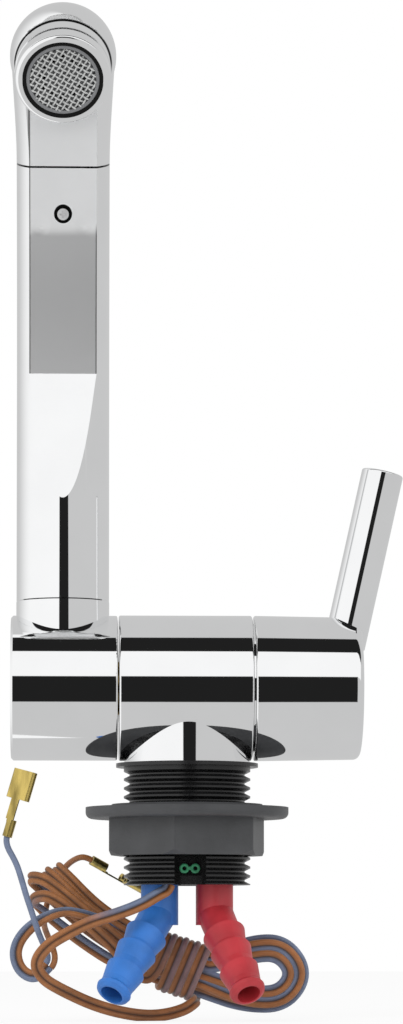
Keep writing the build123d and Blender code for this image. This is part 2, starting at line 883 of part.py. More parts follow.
# Folding section: chrome shell with the spout's collar, and the core inside it
knuckle_inner_x = left_end_x + barrel_wall
with BuildPart() as spout_knuckle:
    rod(across_barrel(left_end_x), left_r, knuckle_right_x - left_end_x)
    knuckle_rims = spout_knuckle.edges().filter_by(GeomType.CIRCLE).sort_by(Axis.X)
    chamfer(knuckle_rims[0], end_bevel)
    fillet(knuckle_rims[-1], seam_round)
    rod(upright(spout_x, 0, barrel_z), collar_r, collar_top_z - barrel_z)
    rod(across_barrel(knuckle_inner_x), knuckle_bore_r, -knuckle_inner_x, mode=Mode.SUBTRACT)
    rod(
        upright(spout_x, 0, barrel_z),
        collar_r - collar_wall,
        collar_top_z - barrel_z,
        mode=Mode.SUBTRACT,
    )
save(spout_knuckle, "spout_knuckle")

core_left_x = knuckle_inner_x + slip
with BuildPart() as knuckle_core:
    rod(across_barrel(core_left_x), knuckle_core_r, core_right_x - core_left_x)
    rod(upright(spout_x, 0, barrel_z), boss_r, boss_top_z - barrel_z)
    rod(across_barrel(core_left_x), pivot_r + slip, core_right_x - core_left_x, mode=Mode.SUBTRACT)
    rod(
        across_barrel(core_left_x),
        pivot_retainer_r + free,
        pivot_end_x - core_left_x + running,
        mode=Mode.SUBTRACT,
    )
    rod(across_barrel(spout_x - chamber_w / 2), chamber_r, chamber_w, mode=Mode.SUBTRACT)
    rod(
        upright(spout_x, 0, barrel_z),
        tube_r + running,
        boss_top_z - barrel_z,
        mode=Mode.SUBTRACT,
    )
save(knuckle_core, "knuckle_core")


# Shapes of the spout, used for its skins and its hollows
def spine(angle, inside=0.0):
    """A point of the leaning axis at an angle of its arc, or one this much nearer to the arc's centre."""
    radius = lean_r - inside
    return Vector(spout_x, radius * cos(radians(angle)) - lean_r, lean_start_z + radius * sin(radians(angle)))


def spine_plane(angle, inside=0.0):
    """The plane square to the leaning axis there."""
    return Plane(
        origin=tuple(spine(angle, inside)),
        x_dir=(1, 0, 0),
        z_dir=(0, -sin(radians(angle)), cos(radians(angle))),
    )


def front_of_face(moved_back, to_angle):
    """What the scoop takes off the spout's front, with its face moved back by so much."""
    inside = face_depth - moved_back
    crease_angle = asin((scoop_crease_z - lean_start_z) / (lean_r - face_depth)) * 180 / pi
    crease = spine(crease_angle, inside)
    shift = crease - spine(crease_angle, face_depth)
    tip = Vector(spout_x, -spout_r, scoop_tip_z) + shift
    start = tip + (tip - crease) * 0.3
    middle = spine((crease_angle + to_angle) / 2, inside)
    end = spine(to_angle, inside)
    front_y = -3 * spout_r - lean_r * (1 - cos(radians(to_angle)))
    with BuildPart() as cutter:
        with BuildSketch(Plane.YZ.offset(spout_x)) as side_view:
            with BuildLine():
                Line((start.Y, start.Z), (crease.Y, crease.Z))
                ThreePointArc((crease.Y, crease.Z), (middle.Y, middle.Z), (end.Y, end.Z))
                Line((end.Y, end.Z), (front_y, end.Z))
                Line((front_y, end.Z), (front_y, start.Z))
                Line((front_y, start.Z), (start.Y, start.Z))
            make_face()
        extrude(side_view.sketch, amount=2 * spout_r, both=True)
    return cutter.part


def leaning_bar(radius, moved_back, low_z, to_angle):
    """A round bar along the spout's axis from low_z, with the scooped face."""
    with BuildPart() as bar:
        rod(upright(spout_x, 0, low_z), radius, lean_start_z - low_z)
        with BuildSketch(upright(spout_x, 0, lean_start_z)) as disc:
            Circle(radius)
        revolve(
            disc.sketch,
            axis=Axis((spout_x, -lean_r, lean_start_z), (1, 0, 0)),
            revolution_arc=to_angle,
        )
        add(front_of_face(moved_back, to_angle + 3), mode=Mode.SUBTRACT)
    return bar.part


def face_plane(angle):
    """The plane of the scooped face at an angle, facing forward."""
    return Plane(
        origin=tuple(spine(angle, face_depth)),
        x_dir=(1, 0, 0),
        z_dir=(0, -cos(radians(angle)), -sin(radians(angle))),
    )


seam_half_angle = head_seam_gap / 2 / lean_r * 180 / pi
column_low_z = collar_top_z + swivel_gap
column_skin = leaning_bar(spout_r, 0, column_low_z, head_seam_angle - seam_half_angle)
column_hollow = leaning_bar(spout_r - spout_wall, spout_wall, column_low_z, head_seam_angle)
with BuildPart() as spout_column:
    add(column_skin)
    add(column_hollow, mode=Mode.SUBTRACT)
    rod(
        face_plane(screw_angle).offset(-screw_recess_depth),
        screw_recess_r,
        screw_recess_depth + past,
        mode=Mode.SUBTRACT,
    )
    rod(
        face_plane(screw_angle).offset(-spout_wall - past),
        screw_shank_r + slip,
        spout_wall + past,
        mode=Mode.SUBTRACT,
    )
    dimple_ball_r = (dimple_r**2 + dimple_depth**2) / (2 * dimple_depth)
    with Locations(face_plane(dimple_angle).offset(dimple_ball_r - dimple_depth)):
        with Locations((-dimple_spread, 0), (dimple_spread, 0)):
            Sphere(dimple_ball_r, mode=Mode.SUBTRACT)
save(spout_column, "spout_column")

with BuildPart() as swivel_bush:
    ring(
        upright(spout_x, 0, bush_low_z),
        collar_r - collar_wall - running,
        boss_r + running,
        bush_high_z - bush_low_z,
    )
save(swivel_bush, "swivel_bush")

with BuildPart() as spout_tube:
    for radius, mode in ((tube_r, Mode.ADD), (tube_bore_r, Mode.SUBTRACT)):
        rod(upright(spout_x, 0, tube_low_z), radius, lean_start_z - tube_low_z, mode=mode)
        with BuildSketch(upright(spout_x, 0, lean_start_z)) as tube_section:
            Circle(radius)
        revolve(
            tube_section.sketch,
            axis=Axis((spout_x, -lean_r, lean_start_z), (1, 0, 0)),
            revolution_arc=tube_top_angle,
            mode=mode,
        )
save(spout_tube, "spout_tube")


# Spout head: flared neck, ball and nozzle collar, hollow inside, with the tongue for the screw
head_centre = spine(head_angle)
nozzle_out = Vector(0, -cos(radians(nozzle_drop)), -sin(radians(nozzle_drop)))
nozzle_axis = Axis(tuple(head_centre), tuple(nozzle_out))
nozzle_side = Plane(origin=tuple(head_centre), x_dir=tuple(nozzle_out), z_dir=(1, 0, 0))


def nozzle_plane(distance):
    """The plane square to the nozzle's axis, this far from the ball's centre."""
    return Plane(
        origin=tuple(head_centre + nozzle_out * distance), x_dir=(1, 0, 0), z_dir=tuple(nozzle_out)
    )


def tongue():
    """The tongue behind the face, down into the column, with the lug that joins it to the head."""
    inner = tube_r + free
    tongue_top_angle = head_seam_angle + tongue_lap
    with BuildPart() as strip:
        for near, far, low, high in (
            (inner, inner + tongue_t, tongue_low_angle, tongue_top_angle),
            (inner, face_depth - tongue_front, head_seam_angle + 2 * seam_half_angle, tongue_top_angle),
        ):
            with BuildSketch(Plane.YZ.offset(spout_x)) as side_view:
                with BuildLine():
                    stations = (low, (low + high) / 2, high)
                    back = [(spine(angle, near).Y, spine(angle, near).Z) for angle in stations]
                    front = [(spine(angle, far).Y, spine(angle, far).Z) for angle in stations]
                    ThreePointArc(*back)
                    Line(back[2], front[2])
                    ThreePointArc(*front)
                    Line(front[0], back[0])
                make_face()
            extrude(side_view.sketch, amount=tongue_w / 2, both=True)
        rod(face_plane(screw_angle).offset(-face_depth), screw_shank_r, face_depth, mode=Mode.SUBTRACT)
    return strip.part


head_low_angle = head_seam_angle + seam_half_angle
head_front = front_of_face(0, head_angle + 1)
hollow_front = front_of_face(spout_wall, head_angle + 1)
tongue_part = tongue()
with BuildPart() as head_neck:
    steps = len(head_neck_radii) - 1
    for step, radius in enumerate(head_neck_radii):
        angle = head_low_angle + (head_angle - head_low_angle) * step / steps
        with BuildSketch(spine_plane(angle)):
            Circle(radius)
    loft()
    add(head_front, mode=Mode.SUBTRACT)
with BuildPart() as head_hollow:
    with BuildSketch(spine_plane(head_low_angle)) as hollow_section:
        Circle(spout_r - spout_wall)
    revolve(
        hollow_section.sketch,
        axis=Axis((spout_x, -lean_r, lean_start_z), (1, 0, 0)),
        revolution_arc=head_angle - head_low_angle,
    )
    add(hollow_front, mode=Mode.SUBTRACT)
head_cut_r = (head_ball_r**2 - head_cut**2) ** 0.5
with BuildPart() as spout_head:
    add(head_neck.part)
    with BuildSketch(nozzle_side) as ball_section:
        with BuildLine():
            ThreePointArc((-head_ball_r, 0), (0, head_ball_r), (head_cut, head_cut_r))
            Polyline(
                (head_cut, head_cut_r),
                (head_cut, head_groove_r),
                (head_cut + head_groove_w, head_groove_r),
                (head_cut + head_groove_w, head_collar_r),
                (head_collar_end, head_collar_r),
                (head_collar_end, 0),
                (-head_ball_r, 0),
            )
        make_face()
        fillet(ball_section.vertices().sort_by_distance((head_cut, head_cut_r))[0], head_edge)
    revolve(ball_section.sketch, axis=nozzle_axis)
    rod(
        nozzle_plane(head_collar_end),
        nozzle_r + free / 2,
        head_ball_r,
        mode=Mode.SUBTRACT,
    )
    add(head_hollow.part, mode=Mode.SUBTRACT)
    with Locations(tuple(head_centre)):
        Sphere(head_ball_r - head_wall, mode=Mode.SUBTRACT)
    rod(nozzle_plane(0), nozzle_bore_r, head_collar_end, mode=Mode.SUBTRACT)
    add(tongue_part)
save(spout_head, "spout_head")

screw_plane = face_plane(screw_angle)
with BuildPart() as spout_screw:
    rod(screw_plane.offset(-screw_recess_depth), screw_head_r, screw_head_t)
    screw_reach = face_depth - tube_r - free
    rod(screw_plane.offset(-screw_reach), screw_shank_r - slip / 5, screw_reach - screw_recess_depth)
    with BuildSketch(screw_plane.offset(screw_head_t - screw_recess_depth - screw_cross_depth)) as cross:
        Rectangle(screw_cross, screw_cross_w)
        Rectangle(screw_cross_w, screw_cross)
    extrude(cross.sketch, amount=past, mode=Mode.SUBTRACT)
save(spout_screw, "spout_screw")


# Nozzle insert, its chrome ring and the aerator in it
inlet_down = (spine(tube_top_angle) - head_centre).normalized()
insert_end = head_collar_end
with BuildPart() as nozzle_insert:
    rod(nozzle_plane(insert_back), insert_r - insert_neck_step, -insert_back)
    rod(nozzle_plane(0), insert_r, insert_end)
    inlet_plane = Plane(origin=tuple(head_centre), x_dir=(1, 0, 0), z_dir=tuple(inlet_down))
    inlet_length = (spine(tube_top_angle) - head_centre).length
    inlet_r = tube_bore_r - inlet_step
    rod(inlet_plane, tube_r, inlet_length - inlet_short)
    rod(inlet_plane, inlet_r, inlet_length + inlet_overlap)
    rod(inlet_plane, inlet_r - inlet_wall, inlet_length + inlet_overlap, mode=Mode.SUBTRACT)
    rod(nozzle_plane(0), insert_bore_r, insert_end, mode=Mode.SUBTRACT)
save(nozzle_insert, "nozzle_insert")

ring_back = head_collar_end + nozzle_gap
ring_front = ring_back + nozzle_length
mouth_back = ring_front - nozzle_mouth_depth
with BuildPart() as nozzle_ring:
    with BuildSketch(nozzle_side) as ring_section:
        with BuildLine():
            Polyline(
                (ring_front, nozzle_mouth_r),
                (mouth_back, nozzle_mouth_r),
                (mouth_back, nozzle_throat_r),
                (ring_back, nozzle_throat_r),
                (ring_back, nozzle_r - nozzle_edge),
                (ring_back + nozzle_edge, nozzle_r),
                (ring_front, nozzle_r),
                (ring_front, nozzle_mouth_r),
            )
        make_face()
        fillet(ring_section.vertices().sort_by_distance((ring_front, nozzle_r))[0], nozzle_round)
    revolve(ring_section.sketch, axis=nozzle_axis)
save(nozzle_ring, "nozzle_ring")

shelf = mouth_back + aerator_shelf
with BuildPart() as aerator_housing:
    turned(
        nozzle_side,
        nozzle_axis,
        [
            (ring_back, aerator_sleeve_r),
            (ring_back, nozzle_throat_r - slip),
            (mouth_back + slip / 2, nozzle_throat_r - slip),
            (mouth_back + slip / 2, nozzle_mouth_r - slip),
            (mouth_back + aerator_lip_t, nozzle_mouth_r - slip),
            (mouth_back + aerator_lip_t, aerator_ring_r),
            (shelf, aerator_ring_r),
            (shelf, aerator_sleeve_r),
        ],
    )
save(aerator_housing, "aerator_housing")

aerator_back = ring_back + aerator_inset
aerator_floor = aerator_back + aerator_plate_t
aerator_front = shelf + aerator_rim
mesh_front = shelf + mesh_raised
with BuildPart() as aerator_core:
    turned(
        nozzle_side,
        nozzle_axis,
        [
            (aerator_back, 0),
            (aerator_back, aerator_sleeve_r - slip),
            (shelf + slip / 2, aerator_sleeve_r - slip),
            (shelf + slip / 2, aerator_ring_r - slip),
            (aerator_front, aerator_ring_r - slip),
            (aerator_front, mesh_r + slip),
            (aerator_floor, mesh_r + slip),
            (aerator_floor, 0),
        ],
    )
    with BuildSketch(nozzle_plane(aerator_back)) as jets:
        with PolarLocations(jet_circle, jet_count):
            Circle(jet_r)
    extrude(jets.sketch, amount=aerator_plate_t, mode=Mode.SUBTRACT)
save(aerator_core, "aerator_core")

mesh_cells = int(2 * mesh_r / mesh_pitch) + 1
mesh_hole = mesh_pitch - mesh_wire
mesh_edge = mesh_r - mesh_rim
with BuildPart() as aerator_mesh:
    with BuildSketch(nozzle_plane(mesh_front - mesh_t)) as screen:
        Circle(mesh_r)
        with BuildSketch(mode=Mode.SUBTRACT):
            with Locations(Rot(0, 0, mesh_turned)):
                with GridLocations(mesh_pitch, mesh_pitch, mesh_cells, mesh_cells):
                    Rectangle(mesh_hole, mesh_hole)
            Circle(mesh_edge, mode=Mode.INTERSECT)
    extrude(amount=mesh_t)
save(aerator_mesh, "aerator_mesh")

with BuildPart() as nozzle_seal:
    seal_outer_r = insert_r - slip
    ring(nozzle_plane(insert_end + slip), seal_outer_r, insert_bore_r - seal_lap, nozzle_gap - 2 * slip)
save(nozzle_seal, "nozzle_seal")


# Hose tails: socket in the stem, elbow and ribbed barb
def barb_root(at):
    """The barb's radius between its ridges, which tapers towards the neck."""
    return barb_root_r + (barb_neck_r - barb_root_r) * at / barb_neck_at


def tail_shape(x, direction):
    """One tail at x, its barb along the direction."""
    elbow = Vector(x, 0, tail_elbow_z)
    sideways = direction.cross(Vector(0, 0, 1)).normalized()
    barb_side = Plane(origin=tuple(elbow), x_dir=tuple(direction), z_dir=tuple(sideways))
    barb_axis = Axis(tuple(elbow), tuple(direction))
    outline = [(0, 0), (0, barb_root_r)]
    for start, ridge_r in barb_ridges:
        outline.append((start, barb_root(start)))
        outline.append((start + barb_step, ridge_r))
        outline.append((start + barb_ramp, barb_root(start + barb_ramp)))
    outline += [
        (barb_neck_at, barb_neck_r),
        (barb_bead_at, barb_bead_r),
        (barb_length - barb_lead, barb_lead_r),
        (barb_length, barb_lip_r),
        (barb_length, 0),
    ]
    with BuildPart() as shape:
        rod(upright(x, 0, tail_bottom_z), tail_r, deck_z - slip - tail_bottom_z)
        rod(upright(x, 0, 0), tail_spigot_r, tail_spigot_top_z)
        turned(barb_side, barb_axis, outline)
        with Locations(tuple(elbow)):
            Sphere(tail_r)
        with BuildSketch(Plane(origin=tuple(elbow), z_dir=tuple(direction))) as bore:
            Circle(barb_bore_r)
        extrude(bore.sketch, amount=barb_length, mode=Mode.SUBTRACT)
        rod(upright(x, 0, tail_elbow_z), tail_passage_r, tail_spigot_top_z - tail_elbow_z, mode=Mode.SUBTRACT)
    return shape.part


cold_shape = tail_shape(-inlet_x, cold_direction)
hot_shape = tail_shape(inlet_x, hot_direction)
with BuildPart() as cold_tail:
    add(cold_shape)
save(cold_tail, "cold_tail")
with BuildPart() as hot_tail:
    add(hot_shape)
save(hot_tail, "hot_tail")

with BuildPart() as tail_seals:
    for side in (-1, 1):
        seal_z = spigot_top_z + tail_seal_r + slip
        o_ring(upright(side * inlet_x, 0, seal_z), tail_spigot_r + slip, tail_seal_r)
save(tail_seals, "tail_seals")


# Green clip: two rings side by side on a tab
with BuildPart() as tail_clip:
    for side in (-1, 1):
        clip_plane = Plane(origin=(stem_slot_x + side * clip_spread / 2, clip_y, clip_z), z_dir=(0, -1, 0))
        with Locations(clip_plane):
            Torus(clip_ring_r, clip_wire_r)
    block(
        (stem_slot_x - clip_tab_half, clip_y - clip_wire_r, clip_z - clip_wire_r),
        (stem_slot_x + clip_tab_half, clip_y + clip_wire_r, clip_z + clip_wire_r),
    )
    block(
        (stem_slot_x - clip_stem_half, clip_y, clip_z - clip_wire_r),
        (stem_slot_x + clip_stem_half, stem_rib_y, clip_z + clip_wire_r),
    )
save(tail_clip, "tail_clip")


# Routes of the switch cable, from the stem through the hank to the terminals
def turned_vectors(tilt):
    """The directions along and across something tilted down to the right by so much."""
    along = Vector(cos(radians(tilt)), 0, -sin(radians(tilt)))
    across = Vector(sin(radians(tilt)), 0, cos(radians(tilt)))
    return along, across


hank_u, hank_v = turned_vectors(hank_tilt)
band_u, band_v = turned_vectors(band_tilt)
backwards = Vector(0, 1, 0)


def in_hank(u, v, w):
    """A point of the bound part: along it, up across its rows, back across its columns."""
    return hank_centre + hank_u * u + hank_v * v + backwards * w


def in_band(reach, v, w):
    """A point of the part left of the binding, reach being the distance towards its eyes."""
    return band_middle - band_u * reach + band_v * v + backwards * w


def row_v(row):
    """The height of a row of the bound part, the first being the top one."""
    return (3 - row) * row_pitch


def strand_left(row, w):
    """Where a strand leaves the binding on the left and where it lies in the band."""
    fanned = (3 - row) * band_pitch
    return [
        in_hank(-6.2 + 0.183 * row_v(row), row_v(row), w * column_half),
        in_hank(-8.2 + 0.183 * row_v(row), row_v(row), w * column_half),
        in_band(0, fanned, w * 2.0),
    ]


def eye(row, reach, w):
    """The half turn in depth at the left end of a row, from the w side to the other."""
    fanned = (3 - row) * band_pitch
    start = reach - eye_r + 0.577 * eye_r
    return [
        in_band(start, fanned, w * eye_r),
        in_band(reach - eye_r + 1.155 * eye_r, fanned, 0),
        in_band(start, fanned, -w * eye_r),
    ]


def left_loop(row, reach, w):
    """A strand out of the binding on the left, round its eye and back."""
    out = strand_left(row, w)
    back = strand_left(row, -w)
    return out + eye(row, reach, w) + back[::-1]


def right_loop(row_in, row_out, inset, w):
    """A strand out of the binding on the right, round in the plane of the loops and back."""
    half_w = loop_half_w - inset
    half_h = loop_half_h - inset
    upwards = 1 if row_in > row_out else -1
    round_trip = [(-0.557, -1), (0.577, -1), (1.155, 0), (0.577, 1), (-0.37, 1)]
    points = [
        loop_centre + Vector(x * half_w, w * loop_depth, z * half_h) for x, z in round_trip
    ]
    low_row = max(row_in, row_out)
    high_row = min(row_in, row_out)
    low = [in_hank(u, row_v(low_row), w * column_half) for u in (6.4, 8.2)]
    high = [in_hank(u + high_row, row_v(high_row), w * column_half) for u in (6.6, 4.8)]
    whole = low + points + high
    return whole[::upwards]


def binding():
    """The turns round the strands, from the bottom at the right to the front at the left."""
    side = wrap_half_d - wrap_corner
    top = wrap_half_h - wrap_corner
    corners = [
        (side, -wrap_half_h),
        (wrap_half_d, -top),
        (wrap_half_d, top),
        (side, wrap_half_h),
        (-side, wrap_half_h),
        (-wrap_half_d, top),
        (-wrap_half_d, -top),
        (-side, -wrap_half_h),
    ]
    slant = wrap_corner * 2**0.5
    steps = [side, slant, 2 * top, slant, 2 * side, slant, 2 * top, slant]
    around = sum(steps) + side
    points = []
    for turn in range(wrap_turns):
        gone = 0.0
        for (w, v), step in zip(corners, steps):
            gone += step
            points.append(in_hank(wrap_start_u - wrap_pitch * (turn + gone / around), v, w))
    return points[:-2]


lead_route = [
    lead_exit,
    Vector(lead_x, lead_y, -33.0),
    Vector(-8.3, -11.3, -34.6),
    Vector(-12.6, -12.6, -36.6),
    Vector(-18.4, -14.0, -38.6),
    Vector(-25.6, -13.5, -40.7),
    Vector(-31.0, -12.5, -43.4),
    Vector(-36.5, -11.5, -46.6),
    Vector(-39.9, -9.6, -51.2),
    Vector(-37.8, -8.0, -55.4),
    Vector(-32.7, -6.0, -58.4),
    Vector(-24.4, -4.0, -62.3),
    Vector(-16.1, -2.0, -64.6),
    Vector(-8.3, 0.5, -65.4),
    Vector(-0.9, 4.0, -63.9),
    in_hank(7.4, -wrap_half_h - 0.2, -3.0),
]
binding_route = binding()
last_turn = [
    in_hank(-5.4, -5.7, -wrap_half_d),
    in_hank(-10.2, -5.5, -2.5),
    in_band(1.0, -5.5, -2.6),
]
hank_strands = (
    eye(5, 18.8, -1)
    + strand_left(5, 1)[::-1]
    + right_loop(5, 1, 0, 1)
    + left_loop(1, 19.6, 1)
    + right_loop(1, 4, 1.3, -1)
    + left_loop(4, 20.6, -1)
    + right_loop(4, 2, 2.9, 1)
    + left_loop(2, 21.4, 1)
    + right_loop(2, 3, 4.2, -1)
    + [in_hank(-6.2, 0, -column_half), in_hank(-8.2, 0, -column_half)]
)
tail_route = [
    in_band(0, 0, -3.2),
    in_band(5.5, -1.2, -6.6),
    in_band(11.5, -3.6, -8.2),
    Vector(-39.4, 0.8, -40.4),
    Vector(-44.6, 0.2, -44.6),
    Vector(-46.6, -0.6, -49.0),
    Vector(-45.2, -1.6, -53.4),
    Vector(-41.4, -2.6, -55.7),
    Vector(-38.3, -3.0, -54.3),
    Vector(-36.3, -3.0, -52.0),
]
lead_end = (lead_route[-1] + binding_route[0]) * 0.5
hank_end = (hank_strands[-1] + tail_route[0]) * 0.5
cable_lead_route = lead_route + [lead_end]
cable_hank_route = [lead_end] + binding_route + last_turn + hank_strands + [hank_end]
cable_tail_route = [hank_end] + tail_route

split = tail_route[-1]
split_run = (tail_route[-1] - tail_route[-2]).normalized()
split_side = Vector(-split_run.Z, 0, split_run.X)
blue_start = split + split_side * core_offset
brown_start = split - split_side * core_offset
blue_core_route = [
    blue_start,
    blue_start + split_run * 1.2,
    Vector(-37.0, -4.4, -47.6),
    Vector(-38.3, -4.2, -44.9),
    Vector(-39.5, -4.2, -42.0),
    Vector(-41.0, -4.0, -38.2),
    Vector(-42.8, -3.4, -33.5),
    Vector(-44.2, -2.8, -29.3),
    Vector(-45.6, -2.2, -25.4),
    blue_crimp - blue_crimp_direction * 3.0,
    blue_crimp,
]
brown_core_route = [
    brown_start,
    brown_start + split_run * 1.2,
    Vector(-34.5, -1.6, -49.0),
    Vector(-36.4, 1.6, -44.6),
    Vector(-37.8, 10.0, -41.1),
    Vector(-37.3, 17.2, -37.4),
    Vector(-36.3, 17.9, -33.2),
    Vector(-34.1, 17.8, -28.6),
    Vector(-31.4, 16.2, -25.0),
    Vector(-28.4, 11.6, -23.3),
    brown_crimp - brown_crimp_direction * 1.6,
    brown_crimp,
]

with BuildPart() as cable_lead:
    cord(cable_lead_route, cable_r)
save(cable_lead, "cable_lead")

with BuildPart() as cable_hank:
    cord(cable_hank_route, cable_r)
save(cable_hank, "cable_hank")

with BuildPart() as cable_tail:
    cord(cable_tail_route, cable_r)
save(cable_tail, "cable_tail")

with BuildPart() as blue_core:
    cord(blue_core_route, core_r)
save(blue_core, "blue_core")

with BuildPart() as brown_core:
    cord(brown_core_route, core_r)
save(brown_core, "brown_core")


# Spade terminals, one at the end of each core
def terminal_shape(crimp, direction, width):
    """A rolled receptacle with its crimp barrel, the core entering at the crimp."""
    plane = Plane(origin=tuple(crimp), x_dir=tuple(width), z_dir=tuple(direction))
    seat_start = terminal_length - terminal_seat
    curl_x = terminal_w / 2 - terminal_curl_r
    sheet_low = -crimp_r
    sheet_y = sheet_low + terminal_sheet / 2
    with BuildPart() as shape:
        ring(plane, crimp_r, crimp_r - terminal_sheet, crimp_length)
        with BuildSketch(plane.offset(crimp_length)) as neck:
            with Locations((0, sheet_y)):
                Rectangle(terminal_neck_w, terminal_sheet)
        extrude(neck.sketch, amount=seat_start - crimp_length + past)
        with BuildSketch(plane.offset(crimp_length - terminal_heel_back)) as heel:
            with Locations((0, sheet_low + terminal_heel_t / 2)):
                Rectangle(terminal_heel_w, terminal_heel_t)
        extrude(heel.sketch, amount=2 * terminal_heel_back)
        with BuildSketch(plane.offset(seat_start)) as seat:
            with Locations((0, sheet_y)):
                Rectangle(2 * curl_x, terminal_sheet)
            for side in (-1, 1):
                with Locations((side * curl_x, sheet_low + terminal_curl_r)):
                    Circle(terminal_curl_r)
                    Circle(terminal_curl_r - terminal_sheet, mode=Mode.SUBTRACT)
        extrude(seat.sketch, amount=terminal_seat)
    return shape.part


blue_terminal_shape = terminal_shape(blue_crimp, blue_crimp_direction, blue_crimp_width)
with BuildPart() as blue_terminal:
    add(blue_terminal_shape)
save(blue_terminal, "blue_terminal")

brown_terminal_shape = terminal_shape(brown_crimp, brown_crimp_direction, brown_crimp_width)
with BuildPart() as brown_terminal:
    add(brown_terminal_shape)
save(brown_terminal, "brown_terminal")


# Checks on the cords: bends, room between strands, and volume against section times length
def sampled(path, spacing):
    """Points along a path with their distances along it."""
    count = max(2, int(path.length / spacing))
    return [(path.length * i / count, path.position_at(i / count)) for i in range(count + 1)]


def least_gap(points, radius, apart):
    """The least room between stretches of one cord that are this far apart along it."""
    least = 1e9
    for i, (at, point) in enumerate(points):
        for other_at, other in points[i + 1:]:
            if other_at - at > apart:
                least = min(least, (point - other).length)
    return least - 2 * radius


def report(piece, route, radius):
    """Prints a cord's measures."""
    path = cord_path(route)
    share = piece.part.volume / (pi * radius**2 * path.length)
    bend = min(bends(route)[1])
    gap = least_gap(sampled(path, 1.2), radius, 8.0)
    print(
        f"{piece.part.label}: radius {radius} mm, length {path.length:.1f} mm, tightest bend {bend:.2f} mm,",
        f"least gap {gap:.2f} mm, volume over section times length {share:.4f}",
    )


report(cable_lead, cable_lead_route, cable_r)
report(cable_hank, cable_hank_route, cable_r)
report(cable_tail, cable_tail_route, cable_r)
report(blue_core, blue_core_route, core_r)
report(brown_core, brown_core_route, core_r)
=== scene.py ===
import json
from math import cos, degrees, radians, sin, sqrt, tau

import bpy
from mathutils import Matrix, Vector


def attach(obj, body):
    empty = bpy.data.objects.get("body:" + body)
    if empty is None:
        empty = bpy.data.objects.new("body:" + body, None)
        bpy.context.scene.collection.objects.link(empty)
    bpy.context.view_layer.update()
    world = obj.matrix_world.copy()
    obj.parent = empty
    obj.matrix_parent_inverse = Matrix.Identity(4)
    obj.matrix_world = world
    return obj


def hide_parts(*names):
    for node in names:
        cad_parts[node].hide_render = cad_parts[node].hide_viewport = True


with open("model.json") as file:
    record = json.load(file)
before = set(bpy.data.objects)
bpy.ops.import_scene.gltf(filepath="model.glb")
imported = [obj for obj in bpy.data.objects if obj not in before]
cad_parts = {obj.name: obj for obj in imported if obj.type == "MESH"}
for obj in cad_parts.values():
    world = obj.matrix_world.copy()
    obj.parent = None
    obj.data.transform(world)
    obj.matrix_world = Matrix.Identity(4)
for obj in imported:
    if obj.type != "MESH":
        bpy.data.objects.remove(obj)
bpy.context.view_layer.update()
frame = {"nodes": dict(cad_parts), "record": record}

# Looks of a single-lever mixer tap with a fold-down spout.
# The origin is on the stem's axis in the worktop's plane, +X towards the lever, +Z up.
# Lengths are in metres where a heading doesn't say millimetres, and angles in degrees.

mm = 0.001

# Camera
camera_place = Vector((-0.0277, -0.9771, -0.0451))
camera_target = Vector((0.0038, 0.0, -0.0082))
camera_lens = 130.87
camera_shift = 0.28
camera_near = 0.05
camera_far = 20.0
sensor = 36.0

# Floor, within half a millimetre of the cable's lowest point, and how much it glows to the camera
floor_z = -0.0665
floor_size = 3.0
floor_grey = 0.95
floor_rough = 0.9
floor_glow = 0.87

# Square lamps: place, width and power, all aimed at one point
lamps = {
    "key": ((-0.5, -0.9, 0.7), 0.5, 4.0),
    "fill": ((0.7, -0.7, 0.2), 0.6, 1.5),
}
lamp_target = Vector((0, 0, 0.03))

# What the chrome reflects, in degrees above the horizon from the front over the top
dark_low = -25.2
dark_high = 15.2
softbox_high = 57.0
ceiling_high = 84.0
# and in degrees to the right of the front
side_box_left = -118.0
side_box_soft = 34.0
dark_left = -8.5
dark_right = 14.4
border_soft = 0.6
# The bands over the top end where a direction points this far to the side
band_reach = 0.85
band_soft = 0.05
# How bright the surroundings, the dark gap, the white boxes, dull surfaces' light and the backdrop are
surround = 0.6
gap_light = 0.015
box_light = 1.0
dull_light = 0.75
backdrop_light = 1.0

# Satin flat in the spout's scoop, duller from just below its screw upwards
spout_x = -0.0327
scoop_half = 0.0088
scoop_half_soft = 0.00002
scoop_crease_z = 0.1026
scoop_crease_soft = 0.00005
scoop_top_z = 0.1396
scoop_top_soft = 0.002
scoop_rough = 0.36
scoop_top_rough = 0.75
faces_front = -0.8
faces_soft = 0.02

# Painted shade in the spout's plating, as dark lines: a painted dark reflection along the scoop's edges, and
# painted shade in the head's seam and the recess of the screw
edge_half = 0.0003
edge_soft = 0.00004
edge_shade_strength = 0.8
left_edge_shade_strength = 0.7
left_edge_soft = 0.001
seam_place = Vector((-0.0327, -0.0183, 0.1549))
seam_way = Vector((0, -0.3223, 0.9466))
seam_half = 0.00024
seam_soft = 0.00006
screw_z = 0.1434
screw_recess_r = 0.00235
screw_recess_soft = 0.00003
# Near-black colour of the painted shade lines
painted_shade_colour = (0.02, 0.02, 0.02)

# Nozzle and the painted shade in the groove behind it, in millimetres from the middle of the head's ball
head_centre = Vector((-32.7, -21.145, 182.874))
nozzle_out = Vector((0, -0.7965, -0.6046))
nozzle_up = Vector((0, -0.6046, 0.7965))
groove_low = 5.05
groove_high = 6.0
groove_soft = 0.08
groove_up = -1.0
groove_up_soft = 2.5
screen_out = 14.1
screen_r = 8.5
screen_pitch = 1.28
screen_wire = 0.5
screen_angle = 60
screen_steps = 4
wire_sides = 6

# Section of the switch cable: two round cores, open towards the narrow web between them.
# Each is drawn round from its outer edge by this angle to either side.
core_round = 158
core_r = 0.000825
core_apart = 0.98
core_sides = 12
wire_r = 0.0008
round_sides = 14
route_steps = 10
quarter_turn = 90
# How strongly the flat cable is drawn to its lean, where the lean is well defined
lean_pull = 0.12
lean_least = 0.3
# Gloss of its insulation, between these two
cable_smooth = 0.36
cable_rough = 0.5


# Node graphs
noise_rough = 0.55
relief = 0.1 * mm


